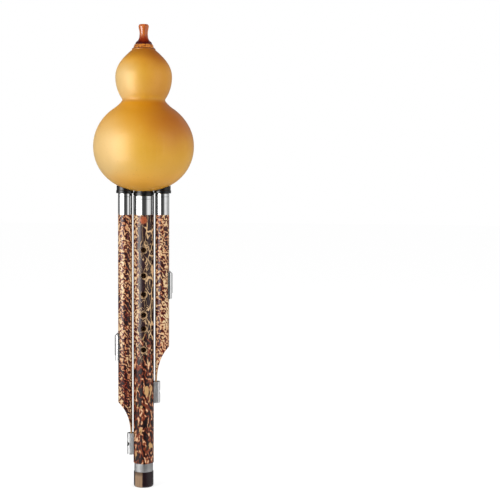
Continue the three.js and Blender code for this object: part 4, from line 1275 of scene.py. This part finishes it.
def make_sleeve(side):
    """A cup that is open towards the melody pipe, with a round hole in its back."""
    bottom, top = side.sleeve_bottom, side.sleeve_top
    straight, far = SLEEVE_HALF_DEPTH - SLEEVE_BACK, SLEEVE_HALF_DEPTH + OVERRUN
    cup = backed_block(-SLEEVE_HALF_DEPTH, straight, SLEEVE_HALF_DEPTH, SLEEVE_HALF_WIDTH, bottom, top)
    envelope = prism(rounded([
        (-far, bottom), (SLEEVE_HALF_DEPTH, bottom, SLEEVE_ROUND),
        (SLEEVE_HALF_DEPTH, top, SLEEVE_LIP_EDGE), (-far, top),
    ]), far)
    inside = backed_block(
        -SLEEVE_HALF_DEPTH - GAP, straight, SLEEVE_HALF_DEPTH - SLEEVE_WALL, SLEEVE_HALF_WIDTH - SLEEVE_WALL,
        bottom + SLEEVE_FLOOR, top + OVERRUN,
    )
    hole = rod_along_x(SLEEVE_HOLE, 0, far, side.sleeve_middle)
    hole = moved(hole, turn(-side.hand * side.hole_turn))
    cup = moved(cut(combined(cup, envelope, "INTERSECT"), inside, hole), shift(SLEEVE_CENTRE))
    melody = rod(MELODY_RADIUS + GAP, bottom - OVERRUN, top + OVERRUN, PIPE_SIDES)
    return cut(cup, moved(melody, shift(-DRONE_OFFSET)))


def inside_sleeve(side):
    """Tells a sleeve's room, and its hole's edge, from its outer faces. The room takes a near black metal,
    which is painted shade.
    """
    centre = side.hand * (DRONE_OFFSET + SLEEVE_CENTRE)

    def test(point, normal):
        away = side.hand * (point.x - centre)
        deep = away < SLEEVE_HALF_DEPTH - SLEEVE_WALL / 2
        between = abs(point.y) < SLEEVE_HALF_WIDTH - SLEEVE_WALL / 2
        past = max(0, away - SLEEVE_HALF_DEPTH + SLEEVE_BACK) / SLEEVE_BACK
        back = hypot(past, point.y / SLEEVE_HALF_WIDTH)
        above = side.sleeve_bottom + SLEEVE_FLOOR / 2 < point.z < side.sleeve_top - THIN_GAP
        return deep and between and above and back < SLEEVE_ROOM_SHARE

    return test


def is_cut_bamboo(side):
    """Tells the sawn and scooped faces of a drone from its skin."""
    centre = side.hand * DRONE_OFFSET

    def test(point, normal):
        reach = hypot(point.x - centre, point.y)
        outward = Vector((point.x - centre, point.y, 0)).normalized()
        return reach < DRONE_RADIUS - THIN_GAP or normal.dot(outward) < SKIN_FACING

    return test


for name, side in SIDES.items():
    place = shift(side.hand * DRONE_OFFSET) @ turn(180 if side.hand < 0 else 0)
    add_piece(
        f"{name}_drone_pipe_fine", moved(make_drone(side), place), "pipes", mottled[name],
        second=bare_bamboo, is_second=is_cut_bamboo(side),
    )
    add_piece(f"{name}_key_track_fine", moved(make_track(side), place), "pipes", satin)
    key = moved(make_stop_key(side), place)
    add_piece(f"{name}_stop_key_fine", key, f"{name}_key", key_metal)
    # the sleeve's room takes the near black painted shade
    add_piece(
        f"{name}_tail_sleeve_fine", moved(make_sleeve(side), place), "pipes", bright,
        second=sleeve_painted_shade, is_second=inside_sleeve(side),
    )
    seat = TRACK_OUTER + THIN_GAP
    for level, height in zip(("lower", "upper"), side.screws):
        tip = DRONE_RADIUS - KEY_SCREW_LENGTH
        screw = make_screw(KEY_SCREW, tip, seat, height)
        add_piece(f"{name}_key_{level}_screw_fine", moved(screw, place), "pipes", steel)
    tip = MELODY_RADIUS - TAIL_SCREW_BITE - DRONE_OFFSET
    seat = TONGUE_FACE + THIN_GAP
    screw = make_screw(TAIL_SCREW, tip, seat, side.sleeve_middle)
    add_piece(f"{name}_tail_screw_fine", moved(screw, place), "pipes", steel)


# Pieces inside the gourd and under the keys keep their solids

KEPT = {
    "_reed_tube": plain_bamboo, "_reed_plate": brass, "_reed_tongue": brass, "_reed_cap": cork,
    "_drone_plug": cork, "_key_pad": leather, "_tail_spacer": cork,
}
for node_name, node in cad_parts.items():
    for ending, finish in KEPT.items():
        if node_name.endswith(ending):
            node.data.materials.clear()
            node.data.materials.append(finish)


# Studio: a pale floor, soft lights at the sides, and cards that glow only in gloss, bright where they stand
# for windows and dark between

WINDOWS = [
    (-180, 0.2), (-125, 0.14), (-112, 0.17), (-102, 0.3), (-92, 0.7), (-82, 1.4), (-70, 5), (-58, 8),
    (-46, 8), (-34, 4), (-26, 1.2), (-19, 0.45), (-11, 0.07), (19, 0.07), (27, 0.16), (34, 0.45),
    (42, 0.92), (55, 1.05), (68, 0.95), (82, 0.65), (96, 0.45), (120, 0.5), (140, 0.4), (180, 0.2),
]
BRIGHTEST = 8
WINDOW_FOOT = (0.05, 0.14, 0.8)  # from one height to the other, in metres, and the level below them
WINDOW_TOP = (0.56, 0.44, 0.2)
SECOND_SIGHT = 0.15  # how bright the room is in a gloss that is itself seen in gloss
ROOM_RADIUS = 0.36  # these, too, are in metres
ROOM_HEIGHT = 0.75
ROOM_FLOOR_HOLE = 0.011
ROOM_CEILING_HOLE = 0.01
ROOM_FLOOR_RISE = 0.001
FLOOR_REACH = 6
FLOOR_COLOUR = (0.5, 0.5, 0.5, 1)
FLOOR_GLOW = 0.66  # where the floor is seen directly, so that it comes out near white
WHITE = (1, 1, 1, 1)
WORLD_LIGHT = 0.66  # of the white world as a light. Seen directly, its strength is 1
LIGHT_PLACE = (1.3, 0.36)  # distance and height
LIGHT_SIZE = (0.55, 1.3)
LIGHT_AIM = Vector((0, 0, 0.3))
CAMERA_PLACE = (0, -1.19, 0.3029)
CAMERA_TURN = -4.86
CAMERA_DIP = 3.65
CAMERA_ROLL = 0.31
CAMERA_LENS = 90.2
CAMERA_SENSOR = 36


def on_circle(radius, steps):
    """Points round Z as pairs, the first at the front."""
    turns = [2 * pi * step / steps for step in range(steps)]
    return [(radius * sin(angle), -radius * cos(angle)) for angle in turns]


def room(name, gain):
    """What gloss sees round the object: a bright window left of the front, a dim one right, dark between.
    WINDOWS lists directions in degrees from the front, and how bright each is."""
    material, made = emptied(name)
    x, y, height = made.axes(made.node("TexCoord", {}, "Object"))
    turned = {"Value": made.bearing(x, y), "From Min": -pi, "From Max": pi}
    greys = [((degrees + 180) / 360, [level / BRIGHTEST] * 3 + [1]) for degrees, level in WINDOWS]
    level = made.ramp(made.node("MapRange", turned), greys)
    for start, end, dim in (WINDOW_FOOT, WINDOW_TOP):
        level = made.least(level, made.band(height, start, end, **{"To Min": dim / BRIGHTEST}))
    depth = {"Value": made.node("LightPath", {}, "Glossy Depth"), "From Min": 1, "From Max": 2,
             "To Min": 1, "To Max": SECOND_SIGHT}
    strength = level * (gain * BRIGHTEST) * made.node("MapRange", depth)
    made.show(made.node("Emission", {"Strength": strength}))
    return material


def staged(name, points, faces, material):
    mesh = bpy.data.meshes.new(name)
    mesh.from_pydata(points, [], faces)
    mesh.materials.append(material)
    thing = placed(name, mesh)
    return thing


def add_card(name, first, second, gain):
    """A surface turned round Z between two (radius, height) points in metres. It shows in gloss alone."""
    steps = 96
    rings = [[(*point, height) for point in on_circle(radius, steps)] for radius, height in (first, second)]
    points = [point for pair in zip(*rings) for point in pair]
    nexts = [(step + 1) % steps for step in range(steps)]
    faces = [[2 * step, 2 * step + 1, 2 * beside + 1, 2 * beside] for step, beside in enumerate(nexts)]
    card = staged(name, points, faces, room(name, gain))
    card.visible_camera = False
    card.visible_diffuse = False
    card.visible_shadow = False
    card.visible_transmission = False


def add_soft_light(name, azimuth, power):
    angle = radians(azimuth)
    light = bpy.data.lights.new(name, "AREA")
    light.shape = "RECTANGLE"
    light.size, light.size_y = LIGHT_SIZE
    light.energy = power
    lamp = placed(name, light)
    distance, height = LIGHT_PLACE
    lamp.location = (distance * sin(angle), -distance * cos(angle), height)
    lamp.rotation_euler = (LIGHT_AIM - lamp.location).to_track_quat("-Z", "Y").to_euler()
    lamp.visible_glossy = False


def add_floor():
    material, made = emptied("floor")
    matt = made.node("BsdfDiffuse", {"Color": FLOOR_COLOUR})
    light = made.node("Emission", {"Strength": made.scaled(made.seen_directly(), 0.0, FLOOR_GLOW)})
    made.show(made.node("AddShader", {0: matt, 1: light}))
    points = [(*point, 0) for point in on_circle(FLOOR_REACH, SMALL_SIDES)]
    staged("floor", points, [list(range(len(points)))], material)


def set_world():
    world = bpy.data.worlds.new("studio")
    world.use_nodes = True
    made = Nodes(world.node_tree)
    background = made.tree.nodes["Background"]
    background.inputs["Color"].default_value = WHITE
    made.feed(background.inputs["Strength"], made.scaled(made.seen_directly(), WORLD_LIGHT, 1.0))
    bpy.context.scene.world = world


def add_camera():
    camera = bpy.data.cameras.new("camera")
    camera.lens = CAMERA_LENS
    camera.sensor_width = CAMERA_SENSOR
    camera.clip_start = 0.01
    view = placed("camera", camera)
    facing = turn(CAMERA_TURN) @ turn(90 - CAMERA_DIP, "X") @ turn(CAMERA_ROLL)
    view.matrix_world = Matrix.Translation(CAMERA_PLACE) @ facing
    bpy.context.scene.camera = view


set_world()
add_floor()
add_soft_light("left_light", -52, 12)
add_soft_light("right_light", 57, 9)
add_card("wall_card", (ROOM_RADIUS, 0), (ROOM_RADIUS, ROOM_HEIGHT), 1)
add_card("floor_card", (ROOM_FLOOR_HOLE, ROOM_FLOOR_RISE), (ROOM_RADIUS, ROOM_FLOOR_RISE), 0.9)
add_card("ceiling_card", (ROOM_RADIUS, ROOM_HEIGHT), (ROOM_CEILING_HOLE, ROOM_HEIGHT), 0.1)
add_camera()
bpy.context.scene.view_settings.view_transform = "Standard"
